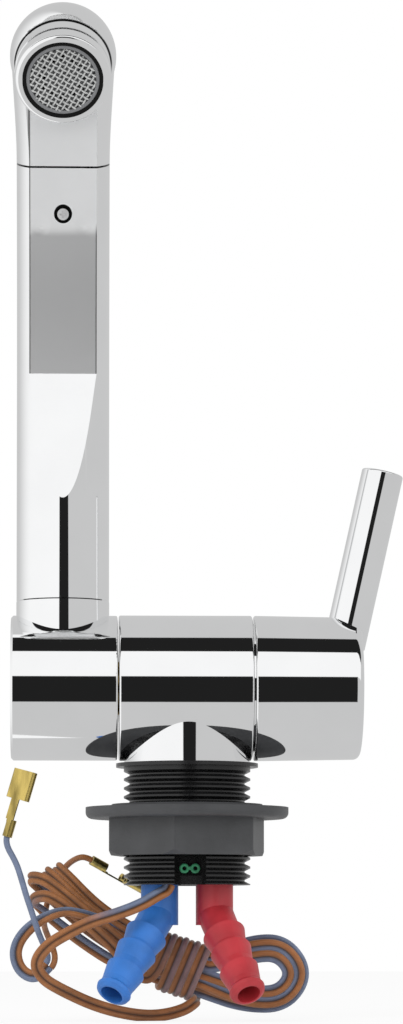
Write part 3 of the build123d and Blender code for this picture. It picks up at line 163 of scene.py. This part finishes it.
class Graph:
    """A node tree with short calls for the nodes that the materials use."""

    def __init__(self, tree):
        self.tree = tree

    def add(self, kind, **settings):
        node = self.tree.nodes.new(kind)
        for key, value in settings.items():
            setattr(node, key, value)
        return node

    def link(self, source, target):
        self.tree.links.new(source, target)

    def maths(self, operation, *values):
        node = self.add("ShaderNodeMath", operation=operation)
        for socket, value in zip(node.inputs, values):
            if isinstance(value, (int, float)):
                socket.default_value = value
            else:
                self.link(value, socket)
        return node.outputs[0]

    def step(self, value, edge, soft):
        """Goes smoothly from 0 below the edge to 1 above it."""
        node = self.add("ShaderNodeMapRange", interpolation_type="SMOOTHSTEP")
        self.link(value, node.inputs["Value"])
        node.inputs["From Min"].default_value = edge - soft
        node.inputs["From Max"].default_value = edge + soft
        return node.outputs[0]

    def under(self, value, edge, soft):
        """Goes smoothly from 1 below the edge to 0 above it."""
        return self.maths("SUBTRACT", 1.0, self.step(value, edge, soft))

    def between(self, value, low, high, soft):
        """1 between two edges and 0 outside them."""
        return self.maths("SUBTRACT", self.step(value, low, soft), self.step(value, high, soft))

    def product(self, *values):
        found = values[0]
        for value in values[1:]:
            found = self.maths("MULTIPLY", found, value)
        return found

    def largest(self, *values):
        found = values[0]
        for value in values[1:]:
            found = self.maths("MAXIMUM", found, value)
        return found

    def angle(self, rise, run):
        """The direction of a rise over a run, in degrees."""
        return self.maths("MULTIPLY", self.maths("ARCTAN2", rise, run), degrees(1))

    def blend(self, share, first, second):
        """A number that goes from the first to the second with the share."""
        node = self.add("ShaderNodeMix", data_type="FLOAT")
        for socket, value in zip((node.inputs[0], node.inputs[2], node.inputs[3]), (share, first, second)):
            if isinstance(value, (int, float)):
                socket.default_value = value
            else:
                self.link(value, socket)
        return node.outputs[0]

    def colours(self, share, first, second):
        """A colour that goes from the first to the second with the share."""
        node = self.add("ShaderNodeMix", data_type="RGBA")
        self.link(share, node.inputs[0])
        for socket, colour in zip((node.inputs[6], node.inputs[7]), (first, second)):
            if isinstance(colour, tuple):
                socket.default_value = (*colour, 1.0)
            else:
                self.link(colour, socket)
        return node.outputs[2]

    def along(self, place, origin, direction):
        """How far a place lies from the origin along a direction."""
        offset = self.add("ShaderNodeVectorMath", operation="SUBTRACT")
        self.link(place, offset.inputs[0])
        offset.inputs[1].default_value = origin
        product = self.add("ShaderNodeVectorMath", operation="DOT_PRODUCT")
        self.link(offset.outputs[0], product.inputs[0])
        product.inputs[1].default_value = direction
        return product.outputs["Value"]

    def noise(self, scale, detail=3.0, stretch=None):
        """Noise in the object's own space."""
        place = self.add("ShaderNodeTexCoord").outputs["Object"]
        if stretch is not None:
            mapping = self.add("ShaderNodeMapping")
            mapping.inputs["Scale"].default_value = stretch
            self.link(place, mapping.inputs["Vector"])
            place = mapping.outputs[0]
        node = self.add("ShaderNodeTexNoise")
        self.link(place, node.inputs["Vector"])
        node.inputs["Scale"].default_value = scale
        node.inputs["Detail"].default_value = detail
        node.inputs["Roughness"].default_value = noise_rough
        return node.outputs["Fac"]

    def clouded(self, noise, colour, darkest, lightest, spread=0.15):
        """A colour whose shade follows a noise, over a spread to each side of the noise's middle."""
        node = self.add("ShaderNodeValToRGB")
        low, high = node.color_ramp.elements
        low.position = 0.5 - spread
        low.color = (*shade(colour, darkest), 1.0)
        high.position = 0.5 + spread
        high.color = (*shade(colour, lightest), 1.0)
        self.link(noise, node.inputs[0])
        return node.outputs[0]

    def bump(self, height, strength):
        node = self.add("ShaderNodeBump")
        node.inputs["Strength"].default_value = strength
        node.inputs["Distance"].default_value = relief
        self.link(height, node.inputs["Height"])
        return node.outputs[0]


def linear(red, green, blue):
    """A display colour from 0 to 255 as a linear one, by the sRGB curve."""
    return tuple(
        value / 12.92 if value <= 0.04045 else ((value + 0.055) / 1.055) ** 2.4
        for value in (red / 255, green / 255, blue / 255)
    )


def shade(colour, factor):
    return tuple(min(1.0, channel * factor) for channel in colour)


# Materials
def new_material(name):
    material = bpy.data.materials.new(name)
    material.use_nodes = True
    shader = material.node_tree.nodes["Principled BSDF"]
    return material, Graph(material.node_tree), shader


def plating(graph, tint, smooth, rough):
    """Colour and gloss of plated metal: a clean mirror with a trace of unevenness."""
    cloud = graph.noise(scale=60.0, detail=4.0)
    colour = graph.clouded(cloud, tint, darkest=0.97, lightest=1.0, spread=0.2)
    gloss = graph.blend(graph.noise(scale=900.0, detail=2.0), smooth, rough)
    return colour, gloss


def chrome(name, tint, smooth, rough):
    material, graph, shader = new_material(name)
    shader.inputs["Metallic"].default_value = 1.0
    colour, gloss = plating(graph, tint, smooth, rough)
    graph.link(colour, shader.inputs["Base Color"])
    graph.link(gloss, shader.inputs["Roughness"])
    return material


def scooped_chrome(name, tint, smooth, rough):
    """The same plating on the spout, satin in the scoop above the crease, with painted shade as dark lines
    in its gaps and a painted dark reflection along the scoop's edges.
    """
    material, graph, shader = new_material(name)
    shader.inputs["Metallic"].default_value = 1.0
    texture = graph.add("ShaderNodeTexCoord")
    spot = texture.outputs["Object"]
    normal = graph.add("ShaderNodeSeparateXYZ")
    place = graph.add("ShaderNodeSeparateXYZ")
    graph.link(texture.outputs["Normal"], normal.inputs[0])
    graph.link(spot, place.inputs[0])
    x = place.outputs[0]
    z = place.outputs[2]
    beside = graph.maths("ABSOLUTE", graph.maths("SUBTRACT", x, spout_x))
    forward = graph.under(normal.outputs[1], faces_front, faces_soft)
    scoop = graph.product(forward, graph.step(z, scoop_crease_z, scoop_crease_soft))
    low = graph.under(z, scoop_top_z, scoop_top_soft)
    satin = graph.product(scoop, graph.under(beside, scoop_half, scoop_half_soft))

    # Painted shade: the dark lines along the scoop's edges stand for their dark reflection, and those at the
    # screw's recess, the groove behind the nozzle and the head's seam stand for the shade in those gaps
    line = graph.between(beside, scoop_half - edge_half, scoop_half + edge_half, edge_soft)
    edge = graph.product(scoop, line)
    left = graph.under(x, spout_x, left_edge_soft)
    both_edges = graph.product(edge, low, edge_shade_strength)
    left_edge = graph.product(edge, left, left_edge_shade_strength)
    rise = graph.maths("SUBTRACT", z, screw_z)
    apart = graph.maths("SQRT", graph.maths("ADD", graph.product(beside, beside), graph.product(rise, rise)))
    recess = graph.under(apart, screw_recess_r, screw_recess_soft)
    out = graph.along(spot, head_centre * mm, nozzle_out)
    up = graph.along(spot, head_centre * mm, nozzle_up)
    groove_shade = graph.product(
        graph.between(out, groove_low * mm, groove_high * mm, groove_soft * mm),
        graph.step(up, groove_up * mm, groove_up_soft * mm),
    )
    seam = graph.between(graph.along(spot, seam_place, seam_way), -seam_half, seam_half, seam_soft)
    painted_shade = graph.largest(both_edges, left_edge, recess, groove_shade, seam)

    colour, gloss = plating(graph, tint, smooth, rough)
    # The painted shade turns the plating's colour towards near black
    graph.link(graph.colours(painted_shade, colour, painted_shade_colour), shader.inputs["Base Color"])
    matt = graph.blend(low, scoop_top_rough, scoop_rough)
    graph.link(graph.blend(satin, gloss, matt), shader.inputs["Roughness"])
    return material


def plastic(name, colour, rough, variation=0.12, gloss=0.5):
    """Moulded plastic with a fine spark texture and slight changes of shade."""
    material, graph, shader = new_material(name)
    cloud = graph.noise(scale=120.0, detail=5.0)
    tone = graph.clouded(cloud, colour, darkest=1 - variation, lightest=1 + variation)
    graph.link(tone, shader.inputs["Base Color"])
    fine = graph.noise(scale=2500.0)
    graph.link(graph.blend(fine, rough - 0.06, rough + 0.08), shader.inputs["Roughness"])
    graph.link(graph.bump(fine, strength=0.25), shader.inputs["Normal"])
    shader.inputs["Specular IOR Level"].default_value = gloss
    return material


def metal(name, colour, rough, dull=0.82):
    """Turned or stamped metal, with a brushed change of gloss and duller streaks."""
    material, graph, shader = new_material(name)
    shader.inputs["Metallic"].default_value = 1.0
    streaks = graph.noise(scale=400.0, detail=5.0, stretch=(1.0, 1.0, 0.15))
    tone = graph.clouded(streaks, colour, darkest=dull, lightest=1.08)
    graph.link(tone, shader.inputs["Base Color"])
    graph.link(graph.blend(streaks, rough - 0.08, rough + 0.1), shader.inputs["Roughness"])
    graph.link(graph.bump(streaks, strength=0.15), shader.inputs["Normal"])
    return material


def insulation(name, first, second):
    """Cable insulation: one colour or the other by the mesh's tint, with painted shade, a darker colour, in
    the groove between cores.
    """
    material, graph, shader = new_material(name)
    tint = graph.add("ShaderNodeAttribute", attribute_name="tint").outputs["Fac"]
    groove_shade = graph.add("ShaderNodeAttribute", attribute_name="groove_shade").outputs["Fac"]
    cloud = graph.noise(scale=260.0, detail=4.0)
    plain, other = (
        graph.clouded(cloud, colour, darkest=0.8, lightest=1.15, spread=0.2) for colour in (first, second)
    )
    # Painted shade: the colour darkens towards the groove between the cores
    colour = graph.colours(groove_shade, graph.colours(tint, plain, other), groove_shade_colour)
    graph.link(colour, shader.inputs["Base Color"])
    fine = graph.noise(scale=1800.0, detail=2.0)
    graph.link(graph.blend(fine, cable_smooth, cable_rough), shader.inputs["Roughness"])
    graph.link(graph.bump(fine, strength=0.15), shader.inputs["Normal"])
    return material


# Finishes by name: those of the record's material slots, and a few for single pieces
brown = linear(158, 102, 58)
# Colour of the painted shade in the groove between the cable's cores
groove_shade_colour = linear(52, 30, 16)
blue_grey = linear(112, 124, 150)
silver = (0.93, 0.935, 0.94)
finishes = {
    "chrome": chrome("chrome", silver, smooth=0.015, rough=0.04),
    "spout_chrome": scooped_chrome("spout_chrome", silver, smooth=0.015, rough=0.04),
    "black_plastic": plastic("black_plastic", linear(26, 26, 27), rough=0.25),
    "ring_plastic": plastic("ring_plastic", linear(8, 8, 8), rough=0.3, gloss=0.15),
    "nut_plastic": plastic("nut_plastic", linear(66, 67, 69), rough=0.45),
    "blue_plastic": plastic("blue_plastic", linear(52, 118, 200), rough=0.42),
    "red_plastic": plastic("red_plastic", linear(188, 52, 60), rough=0.42),
    "green_plastic": plastic("green_plastic", linear(60, 150, 105), rough=0.3),
    "white_plastic": plastic("white_plastic", linear(225, 225, 222), rough=0.4, variation=0.03),
    "tube_plastic": plastic("tube_plastic", linear(232, 232, 228), rough=0.3, variation=0.03),
    "grey_plastic": plastic("grey_plastic", linear(118, 119, 121), rough=0.4, variation=0.05),
    "screen_plastic": plastic("screen_plastic", linear(188, 189, 188), rough=0.35, variation=0.06),
    "switch_plastic": plastic("switch_plastic", linear(38, 38, 40), rough=0.4),
    "seal_rubber": plastic("seal_rubber", linear(25, 25, 26), rough=0.6),
    "steel": metal("steel", (0.58, 0.58, 0.58), rough=0.3),
    "pivot_brass": metal("pivot_brass", (0.75, 0.56, 0.24), rough=0.3),
    "screw_steel": metal("screw_steel", (0.9, 0.9, 0.9), rough=0.5),
    "terminal_brass": metal("terminal_brass", (0.72, 0.55, 0.17), rough=0.32, dull=0.45),
    "cable_brown": insulation("cable_brown", brown, blue_grey),
    "cable_blue": insulation("cable_blue", blue_grey, brown),
}


def finish_nodes():
    """Gives every carried-over node the material of its slot, or for a few pieces one of their own."""
    for subpart in frame["record"]["subparts"]:
        node = frame["nodes"][subpart["node"]]
        node.data.materials.clear()
        node.data.materials.append(finishes[subpart["material_slot"]])
    own_finishes = {
        "spout_column": "spout_chrome",
        "spout_head": "spout_chrome",
        "spout_screw": "screw_steel",
        "aerator_housing": "ring_plastic",
    }
    for name, finish in own_finishes.items():
        frame["nodes"][name].data.materials[0] = finishes[finish]
    for name in ("blue_terminal", "brown_terminal"):
        frame["nodes"][name].visible_glossy = False


# Routes of the switch cable, as in the model, in millimetres
def turned_vectors(tilt):
    along = Vector((cos(radians(tilt)), 0, -sin(radians(tilt))))
    across = Vector((sin(radians(tilt)), 0, cos(radians(tilt))))
    return along, across


lead_exit = Vector((-5.0, -10.1, -30.9))
lead_side = Vector((1, 0, 0.2)).normalized()
hank_centre = Vector((-2.1, 9.5, -52.2))
hank_u, hank_v = turned_vectors(18.0)
row_pitch = 2.35
middle_row = 3
row_slant = 0.183
column_half = 1.2
left_reaches = (-6.2, -8.2)
right_low_reaches = (6.4, 8.2)
right_high_reaches = (6.6, 4.8)
wrap_turns = 4
wrap_pitch = 3.2
wrap_start_u = 7.2
wrap_half_h = 7.06
wrap_half_d = 3.57
wrap_corner = 1.33
band_middle = Vector((-21.1, 9.5, -40.7))
band_u, band_v = turned_vectors(33.0)
loop_centre = Vector((20.9, 9.5, -54.2))
loop_half_w = 10.2
loop_half_h = 8.85
loop_depth = 2.0
loop_outline = [(-0.557, -1), (0.577, -1), (1.155, 0), (0.577, 1), (-0.37, 1)]
backwards = Vector((0, 1, 0))
blue_crimp = Vector((-47.2, -2.0, -18.3))
blue_crimp_direction = Vector((0.28, 0.0, 0.96))
brown_crimp = Vector((-25.0, 12.4, -24.1))
brown_crimp_direction = Vector((0.826, 0.33, -0.457))


def in_hank(u, v, w):
    """A point of the bound part: along it, up across its rows, back across its columns."""
    return hank_centre + hank_u * u + hank_v * v + backwards * w


def in_band(reach, v, w):
    """A point of the part left of the binding, reach being the distance towards its eyes."""
    return band_middle - band_u * reach + band_v * v + backwards * w


def row_v(row):
    return (middle_row - row) * row_pitch


# Left of the binding, from it to the eye: each row's strand in front, its eye's tip and its strand behind
front_strands = {
    1: [(-16.3, 8.4, -41.4), (-22.9, 7.6, -36.8), (-27.2, 7.0, -32.9), (-30.9, 6.6, -29.0)],
    2: [(-17.1, 6.8, -43.0), (-24.3, 6.2, -38.3), (-28.8, 6.0, -34.8), (-33.5, 6.0, -30.2)],
    4: [
        (-18.1, 5.2, -45.0),
        (-25.1, 5.2, -39.2),
        (-29.6, 5.4, -35.4),
        (-34.2, 5.6, -31.6),
        (-38.0, 6.2, -29.0),
    ],
    5: [
        (-18.9, 3.6, -47.4),
        (-25.4, 3.8, -41.6),
        (-29.6, 4.4, -38.2),
        (-34.1, 5.0, -34.9),
        (-37.6, 6.0, -33.4),
    ],
}
eye_tips = {
    1: (-35.0, 9.8, -25.2),
    2: (-38.0, 9.8, -26.4),
    4: (-42.2, 9.8, -28.6),
    5: (-41.2, 9.8, -34.6),
}
back_strands = {
    1: [(-16.8, 11.2, -42.6), (-23.4, 12.4, -38.2), (-28.4, 13.0, -33.2), (-32.2, 13.4, -28.6)],
    2: [(-17.6, 13.4, -44.6), (-25.0, 14.2, -39.8), (-30.2, 14.2, -34.6), (-34.6, 13.8, -29.8)],
    4: [(-18.8, 12.6, -47.4), (-26.2, 12.8, -42.4), (-32.0, 13.0, -37.4), (-38.2, 13.2, -31.8)],
    5: [(-19.6, 11.4, -51.0), (-26.4, 11.6, -46.6), (-32.4, 11.8, -42.2), (-38.0, 12.6, -37.6)],
}


def strand_left(row, w):
    """A strand from the binding to the front of its eye, or to its back."""
    strand = front_strands[row] if w < 0 else back_strands[row]
    v = row_v(row)
    in_binding = [in_hank(reach + row_slant * v, v, w * column_half) for reach in left_reaches]
    return in_binding + [Vector(point) for point in strand]


def right_loop(row_in, row_out, inset, w):
    """A strand out of the binding on the right, round in the plane of the loops and back."""
    half_w = loop_half_w - inset
    half_h = loop_half_h - inset
    upwards = 1 if row_in > row_out else -1
    points = [loop_centre + Vector((x * half_w, w * loop_depth, z * half_h)) for x, z in loop_outline]
    low_row = max(row_in, row_out)
    high_row = min(row_in, row_out)
    low = [in_hank(u, row_v(low_row), w * column_half) for u in right_low_reaches]
    high = [in_hank(u + high_row, row_v(high_row), w * column_half) for u in right_high_reaches]
    return (low + points + high)[::upwards]


def binding():
    """The turns round the strands, from the bottom at the right to the front at the left."""
    side = wrap_half_d - wrap_corner
    top = wrap_half_h - wrap_corner
    corners = [
        (side, -wrap_half_h),
        (wrap_half_d, -top),
        (wrap_half_d, top),
        (side, wrap_half_h),
        (-side, wrap_half_h),
        (-wrap_half_d, top),
        (-wrap_half_d, -top),
        (-side, -wrap_half_h),
    ]
    slant = wrap_corner * sqrt(2)
    steps = [side, slant, 2 * top, slant, 2 * side, slant, 2 * top, slant]
    around = sum(steps) + side
    points = []
    for turn in range(wrap_turns):
        gone = 0.0
        for (w, v), step in zip(corners, steps):
            gone += step
            points.append(in_hank(wrap_start_u - wrap_pitch * (turn + gone / around), v, w))
    return points[:-2]


def stretch(points, lean=0, tint=0):
    """Points with the flat cable's lean there and its second core's tint, or below 0 its first core's."""
    return [(point, lean, tint) for point in points]


split = Vector((-36.3, -3.0, -52.0))
strand_lean = 20
cable_route = (
    stretch(
        [
            lead_exit,
            Vector((-5.3, -10.3, -32.3)),
            Vector((-7.6, -11.6, -33.4)),
            Vector((-12.0, -12.8, -36.1)),
            Vector((-18.4, -14.0, -38.6)),
        ],
        tint=1,
    )
    + stretch(
        [
            Vector((-25.6, -13.5, -40.7)),
            Vector((-31.0, -12.5, -43.4)),
            Vector((-36.5, -11.5, -46.6)),
            Vector((-39.9, -9.6, -51.2)),
            Vector((-37.8, -8.0, -55.4)),
            Vector((-32.7, -6.0, -58.4)),
            Vector((-24.4, -4.0, -62.3)),
            Vector((-16.1, -2.0, -64.6)),
            Vector((-8.3, 0.5, -65.4)),
            Vector((-0.9, 4.0, -63.9)),
            in_hank(7.4, -wrap_half_h - 0.2, -3.0),
        ],
    )
    + stretch(binding(), tint=0.45)
    + stretch([in_hank(-5.4, -5.7, -wrap_half_d), in_hank(-10.2, -5.5, -2.8)])
    + stretch([Vector(point) for point in front_strands[5]])
    + stretch([Vector(eye_tips[5])], tint=0.5)
    + stretch(strand_left(5, 1)[::-1], strand_lean, tint=1)
    + stretch(right_loop(5, 1, inset=0, w=1), strand_lean, tint=-1)
    + stretch(strand_left(1, 1), strand_lean, tint=1)
    + stretch([Vector(eye_tips[1])] + strand_left(1, -1)[::-1])
    + stretch(right_loop(1, 4, inset=1.3, w=-1), strand_lean, tint=1)
    + stretch(strand_left(4, -1) + [Vector(eye_tips[4])])
    + stretch(strand_left(4, 1)[::-1], strand_lean, tint=1)
    + stretch(right_loop(4, 2, inset=2.9, w=1), strand_lean, tint=-1)
    + stretch(strand_left(2, 1), strand_lean, tint=1)
    + stretch([Vector(eye_tips[2])] + strand_left(2, -1)[::-1])
    + stretch(right_loop(2, 3, inset=4.2, w=-1), strand_lean, tint=1)
    + stretch([in_hank(reach, 0, -column_half) for reach in left_reaches], lean=38, tint=1)
    + stretch(
        [
            in_band(0, 0, -3.2),
            in_band(5.5, -1.2, -6.6),
            in_band(11.5, -3.6, -8.2),
        ],
        lean=60,
        tint=1,
    )
    + stretch(
        [
            Vector((-39.4, 0.8, -40.4)),
            Vector((-43.6, 0.2, -44.4)),
            Vector((-45.2, -0.6, -48.6)),
            Vector((-44.0, -1.6, -52.8)),
            Vector((-41.0, -2.6, -55.0)),
            Vector((-38.3, -3.0, -54.3)),
            split,
        ],
        tint=1,
    )
)
split_run = Vector((2.0, 0.0, 2.3)).normalized()
split_side = Vector((-split_run.z, 0, split_run.x))
split_half = 0.92
split_straight = 1.2
blue_straight = 1.8
brown_straight = 1.6
blue_start = split + split_side * split_half
brown_start = split - split_side * split_half
blue_core_route = [
    blue_start,
    blue_start + split_run * split_straight,
    Vector((-37.0, -4.4, -47.6)),
    Vector((-38.3, -4.2, -44.9)),
    Vector((-39.4, -4.2, -42.0)),
    Vector((-40.6, -4.0, -38.2)),
    Vector((-42.2, -3.4, -33.5)),
    Vector((-43.4, -2.8, -29.3)),
    Vector((-44.8, -2.2, -25.0)),
    blue_crimp - blue_crimp_direction * blue_straight,
    blue_crimp,
]
brown_core_route = [
    brown_start,
    brown_start + split_run * split_straight,
    Vector((-34.5, -1.6, -49.0)),
    Vector((-36.4, 1.6, -44.6)),
    Vector((-37.8, 10.0, -41.1)),
    Vector((-37.3, 17.2, -37.4)),
    Vector((-36.3, 17.9, -33.2)),
    Vector((-34.1, 17.8, -28.6)),
    Vector((-31.4, 16.2, -25.0)),
    Vector((-28.4, 11.6, -23.3)),
    brown_crimp - brown_crimp_direction * brown_straight,
    brown_crimp,
]


def along_route(values):
    """Values on the route's smooth curve, read from a spline that has them as its control points."""
    curve = bpy.data.curves.new("route", "CURVE")
    curve.dimensions = "3D"
    curve.resolution_u = route_steps
    spline = curve.splines.new("NURBS")
    spline.points.add(len(values) - 1)
    for point, value in zip(spline.points, values):
        point.co = (*value, 1.0)
    spline.order_u = 3
    spline.use_endpoint_u = True
    holder = bpy.data.objects.new("route", curve)
    bpy.context.scene.collection.objects.link(holder)
    mesh = bpy.data.meshes.new_from_object(holder)
    found = [vertex.co.copy() for vertex in mesh.vertices]
    bpy.data.objects.remove(holder)
    bpy.data.meshes.remove(mesh)
    bpy.data.curves.remove(curve)
    return found


def directions_of(points):
    """The way the line runs at each of its points."""
    ahead = points[1:] + points[-1:]
    behind = points[:1] + points[:-1]
    return [(a - b).normalized() for a, b in zip(ahead, behind)]


def carried_sides(directions, leans, start):
    """The flat cable's wide way at each point: carried along, and drawn gently to its lean."""
    sides = []
    side = start
    for run, lean in zip(directions, leans):
        side = (side - run * side.dot(run)).normalized()
        level = run.cross(backwards)
        steady = level.length
        if steady > lean_least:
            level.normalize()
            wanted = level * cos(radians(lean)) + run.cross(level) * sin(radians(lean))
            if wanted.dot(side) < 0:
                wanted.negate()
            side = (side + wanted * lean_pull * steady).normalized()
        sides.append(side.copy())
    return sides


def mesh_object(name, vertices, faces, material):
    mesh = bpy.data.meshes.new(name)
    mesh.from_pydata(vertices, [], faces)
    mesh.materials.append(material)
    mesh.polygons.foreach_set("use_smooth", [True] * len(mesh.polygons))
    mesh.update()
    piece = bpy.data.objects.new(name, mesh)
    bpy.context.scene.collection.objects.link(piece)
    return piece


def swept(name, centres, sides, section, material, tints):
    """A closed tube through the centres. The section lists across, up, tinted share and share of painted
    shade in the groove between cores.
    """
    directions = directions_of(centres)
    vertices = []
    shares = []
    shade_shares = []
    for centre, run, side, tint in zip(centres, directions, sides, tints):
        up = run.cross(side)
        for across, rise, share, shade_share in section:
            vertices.append(centre + side * across + up * rise)
            shares.append(tint * share if tint > 0 else tint * (share - 1))
            shade_shares.append(shade_share)
    count = len(section)
    faces = []
    for ring in range(len(centres) - 1):
        for k in range(count):
            nxt = (k + 1) % count
            a = ring * count
            b = a + count
            faces.append((a + k, a + nxt, b + nxt, b + k))
    faces.append(tuple(range(count))[::-1])
    last = (len(centres) - 1) * count
    faces.append(tuple(range(last, last + count)))
    piece = mesh_object(name, vertices, faces, material)
    for label, values in (("tint", shares), ("groove_shade", shade_shares)):
        layer = piece.data.attributes.new(label, "FLOAT", "POINT")
        layer.data.foreach_set("value", values)
    return piece


def twin_section():
    """Two round cores side by side with a narrow web, the second core carrying the tint."""
    section = []
    for sign, share in ((1, 0.0), (-1, 1.0)):
        for step in range(core_sides):
            angle = radians(core_round * (2 * step / (core_sides - 1) - 1))
            across = sign * core_r * (core_apart + cos(angle))
            # Share of painted shade, strongest on each core's inner side towards the web
            shade_share = max(0.0, -cos(angle)) ** 2
            section.append((across, sign * core_r * sin(angle), share, shade_share))
    return section


def round_section(radius):
    angles = [tau * k / round_sides for k in range(round_sides)]
    return [(radius * cos(angle), radius * sin(angle), 0.0, 0.0) for angle in angles]


def in_metres(points):
    return [point * mm for point in points]


def make_cable():
    """The flat twin cable from the stem through the hank to where its cores part."""
    centres = along_route(in_metres([point for point, lean, tint in cable_route]))
    settings = along_route([(lean / quarter_turn, tint, 0.0) for point, lean, tint in cable_route])
    leans = [value.x * quarter_turn for value in settings]
    tints = [value.y for value in settings]
    sides = carried_sides(directions_of(centres), leans, lead_side)
    piece = swept("switch_cable", centres, sides, twin_section(), finishes["cable_brown"], tints)
    piece.visible_glossy = False
    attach(piece, "base")
    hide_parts("cable_lead", "cable_hank", "cable_tail")


def make_core(name, node, route, slot_name):
    """One core from the split to its terminal."""
    centres = along_route(in_metres(route))
    directions = directions_of(centres)
    start = directions[0].cross(backwards).normalized()
    sides = carried_sides(directions, [0] * len(centres), start)
    section = round_section(wire_r)
    piece = swept(name, centres, sides, section, finishes[slot_name], [0.0] * len(centres))
    piece.visible_glossy = False
    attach(piece, "base")
    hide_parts(node)


# Woven screen in the nozzle
def nozzle_point(across, up, out):
    """A point in the nozzle's own frame, out being the distance from the head's centre."""
    return head_centre + Vector((across, 0, 0)) + nozzle_up * up + nozzle_out * out


def make_screen():
    """Two families of wires, each going over and under the other."""
    vertices = []
    faces = []
    for angle in (screen_angle, screen_angle + 90):
        along = Vector((cos(radians(angle)), sin(radians(angle))))
        beside = Vector((-along.y, along.x))
        phase = 0 if angle == screen_angle else 1
        reach = int(screen_r / screen_pitch)
        for wire in range(-reach, reach + 1):
            offset = wire * screen_pitch
            half = sqrt(screen_r**2 - offset**2)
            steps = int(2 * half / screen_pitch * screen_steps)
            base = len(vertices)
            for step in range(steps + 1):
                at = -half + 2 * half * step / steps
                lift = screen_wire / 2 * cos(tau / 2 * (at / screen_pitch + wire + phase))
                middle = along * at + beside * offset
                for k in range(wire_sides):
                    sideways = screen_wire / 2 * cos(tau * k / wire_sides)
                    outward = screen_wire / 2 * sin(tau * k / wire_sides)
                    place = middle + beside * sideways
                    vertices.append(nozzle_point(place.x, place.y, screen_out + lift + outward) * mm)
            for ring in range(steps):
                for k in range(wire_sides):
                    a = base + ring * wire_sides
                    b = a + wire_sides
                    after = (k + 1) % wire_sides
                    faces.append((a + k, a + after, b + after, b + k))
    screen = mesh_object("woven_screen", vertices, faces, finishes["screen_plastic"])
    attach(screen, "spout")
    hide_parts("aerator_mesh")


# Stage: floor, world and lamps
def make_floor():
    bpy.ops.mesh.primitive_grid_add(size=floor_size, location=(0, 0, floor_z))
    floor = bpy.context.object
    floor.name = "floor"
    material, graph, shader = new_material("floor")
    shader.inputs["Base Color"].default_value = (floor_grey, floor_grey, floor_grey, 1)
    shader.inputs["Roughness"].default_value = floor_rough
    path = graph.add("ShaderNodeLightPath")
    glow = graph.add("ShaderNodeEmission")
    mix = graph.add("ShaderNodeMixShader")
    graph.link(graph.product(path.outputs["Is Camera Ray"], floor_glow), mix.inputs[0])
    graph.link(shader.outputs[0], mix.inputs[1])
    graph.link(glow.outputs[0], mix.inputs[2])
    output = material.node_tree.nodes["Material Output"]
    graph.link(mix.outputs[0], output.inputs["Surface"])
    floor.data.materials.append(material)
    floor.visible_glossy = False


def make_world():
    """A studio seen in the chrome: white boxes, a dark gap round the front, and a dark ceiling strip."""
    world = bpy.data.worlds.new("studio")
    bpy.context.scene.world = world
    world.use_nodes = True
    graph = Graph(world.node_tree)
    background = world.node_tree.nodes["Background"]
    split_node = graph.add("ShaderNodeSeparateXYZ")
    graph.link(graph.add("ShaderNodeTexCoord").outputs["Generated"], split_node.inputs[0])
    x, y, z = split_node.outputs
    front = graph.maths("MULTIPLY", y, -1.0)
    over = graph.angle(z, front)
    beside = graph.angle(x, front)
    inside = graph.under(graph.maths("ABSOLUTE", x), band_reach, band_soft)
    left_side = graph.step(beside, side_box_left, side_box_soft)
    box = graph.maths("SUBTRACT", left_side, graph.step(beside, dark_left, border_soft))
    light = graph.blend(box, surround, box_light)
    high = graph.product(graph.between(over, dark_high, softbox_high, border_soft), inside)
    light = graph.blend(high, light, box_light)
    ceiling = graph.product(graph.between(over, softbox_high, ceiling_high, border_soft), inside)
    light = graph.blend(ceiling, light, gap_light)
    gap = graph.product(
        graph.between(over, dark_low, dark_high, border_soft),
        graph.between(beside, dark_left, dark_right, border_soft),
    )
    light = graph.blend(gap, light, gap_light)
    path = graph.add("ShaderNodeLightPath")
    light = graph.blend(path.outputs["Is Diffuse Ray"], light, dull_light)
    light = graph.blend(path.outputs["Is Camera Ray"], light, backdrop_light)
    graph.link(light, background.inputs["Color"])


def make_lamps():
    """Soft lamps that light the dull surfaces and don't show in the chrome."""
    for name, (place, width, power) in lamps.items():
        light = bpy.data.lights.new(name, "AREA")
        light.shape = "RECTANGLE"
        light.size = width
        light.size_y = width
        light.energy = power
        holder = bpy.data.objects.new(name, light)
        bpy.context.scene.collection.objects.link(holder)
        holder.location = place
        holder.rotation_euler = (lamp_target - Vector(place)).to_track_quat("-Z", "Y").to_euler()
        holder.visible_glossy = False


def make_camera():
    data = bpy.data.cameras.new("camera")
    data.lens = camera_lens
    data.sensor_width = sensor
    data.shift_y = camera_shift
    data.clip_start = camera_near
    data.clip_end = camera_far
    camera = bpy.data.objects.new("camera", data)
    bpy.context.scene.collection.objects.link(camera)
    camera.location = camera_place
    camera.rotation_euler = (camera_target - camera_place).to_track_quat("-Z", "Y").to_euler()
    bpy.context.scene.camera = camera


finish_nodes()
make_cable()
make_core("blue_wire", "blue_core", blue_core_route, "cable_blue")
make_core("brown_wire", "brown_core", brown_core_route, "cable_brown")
make_screen()
make_floor()
make_world()
make_lamps()
make_camera()
bpy.context.scene.view_settings.view_transform = "Standard"
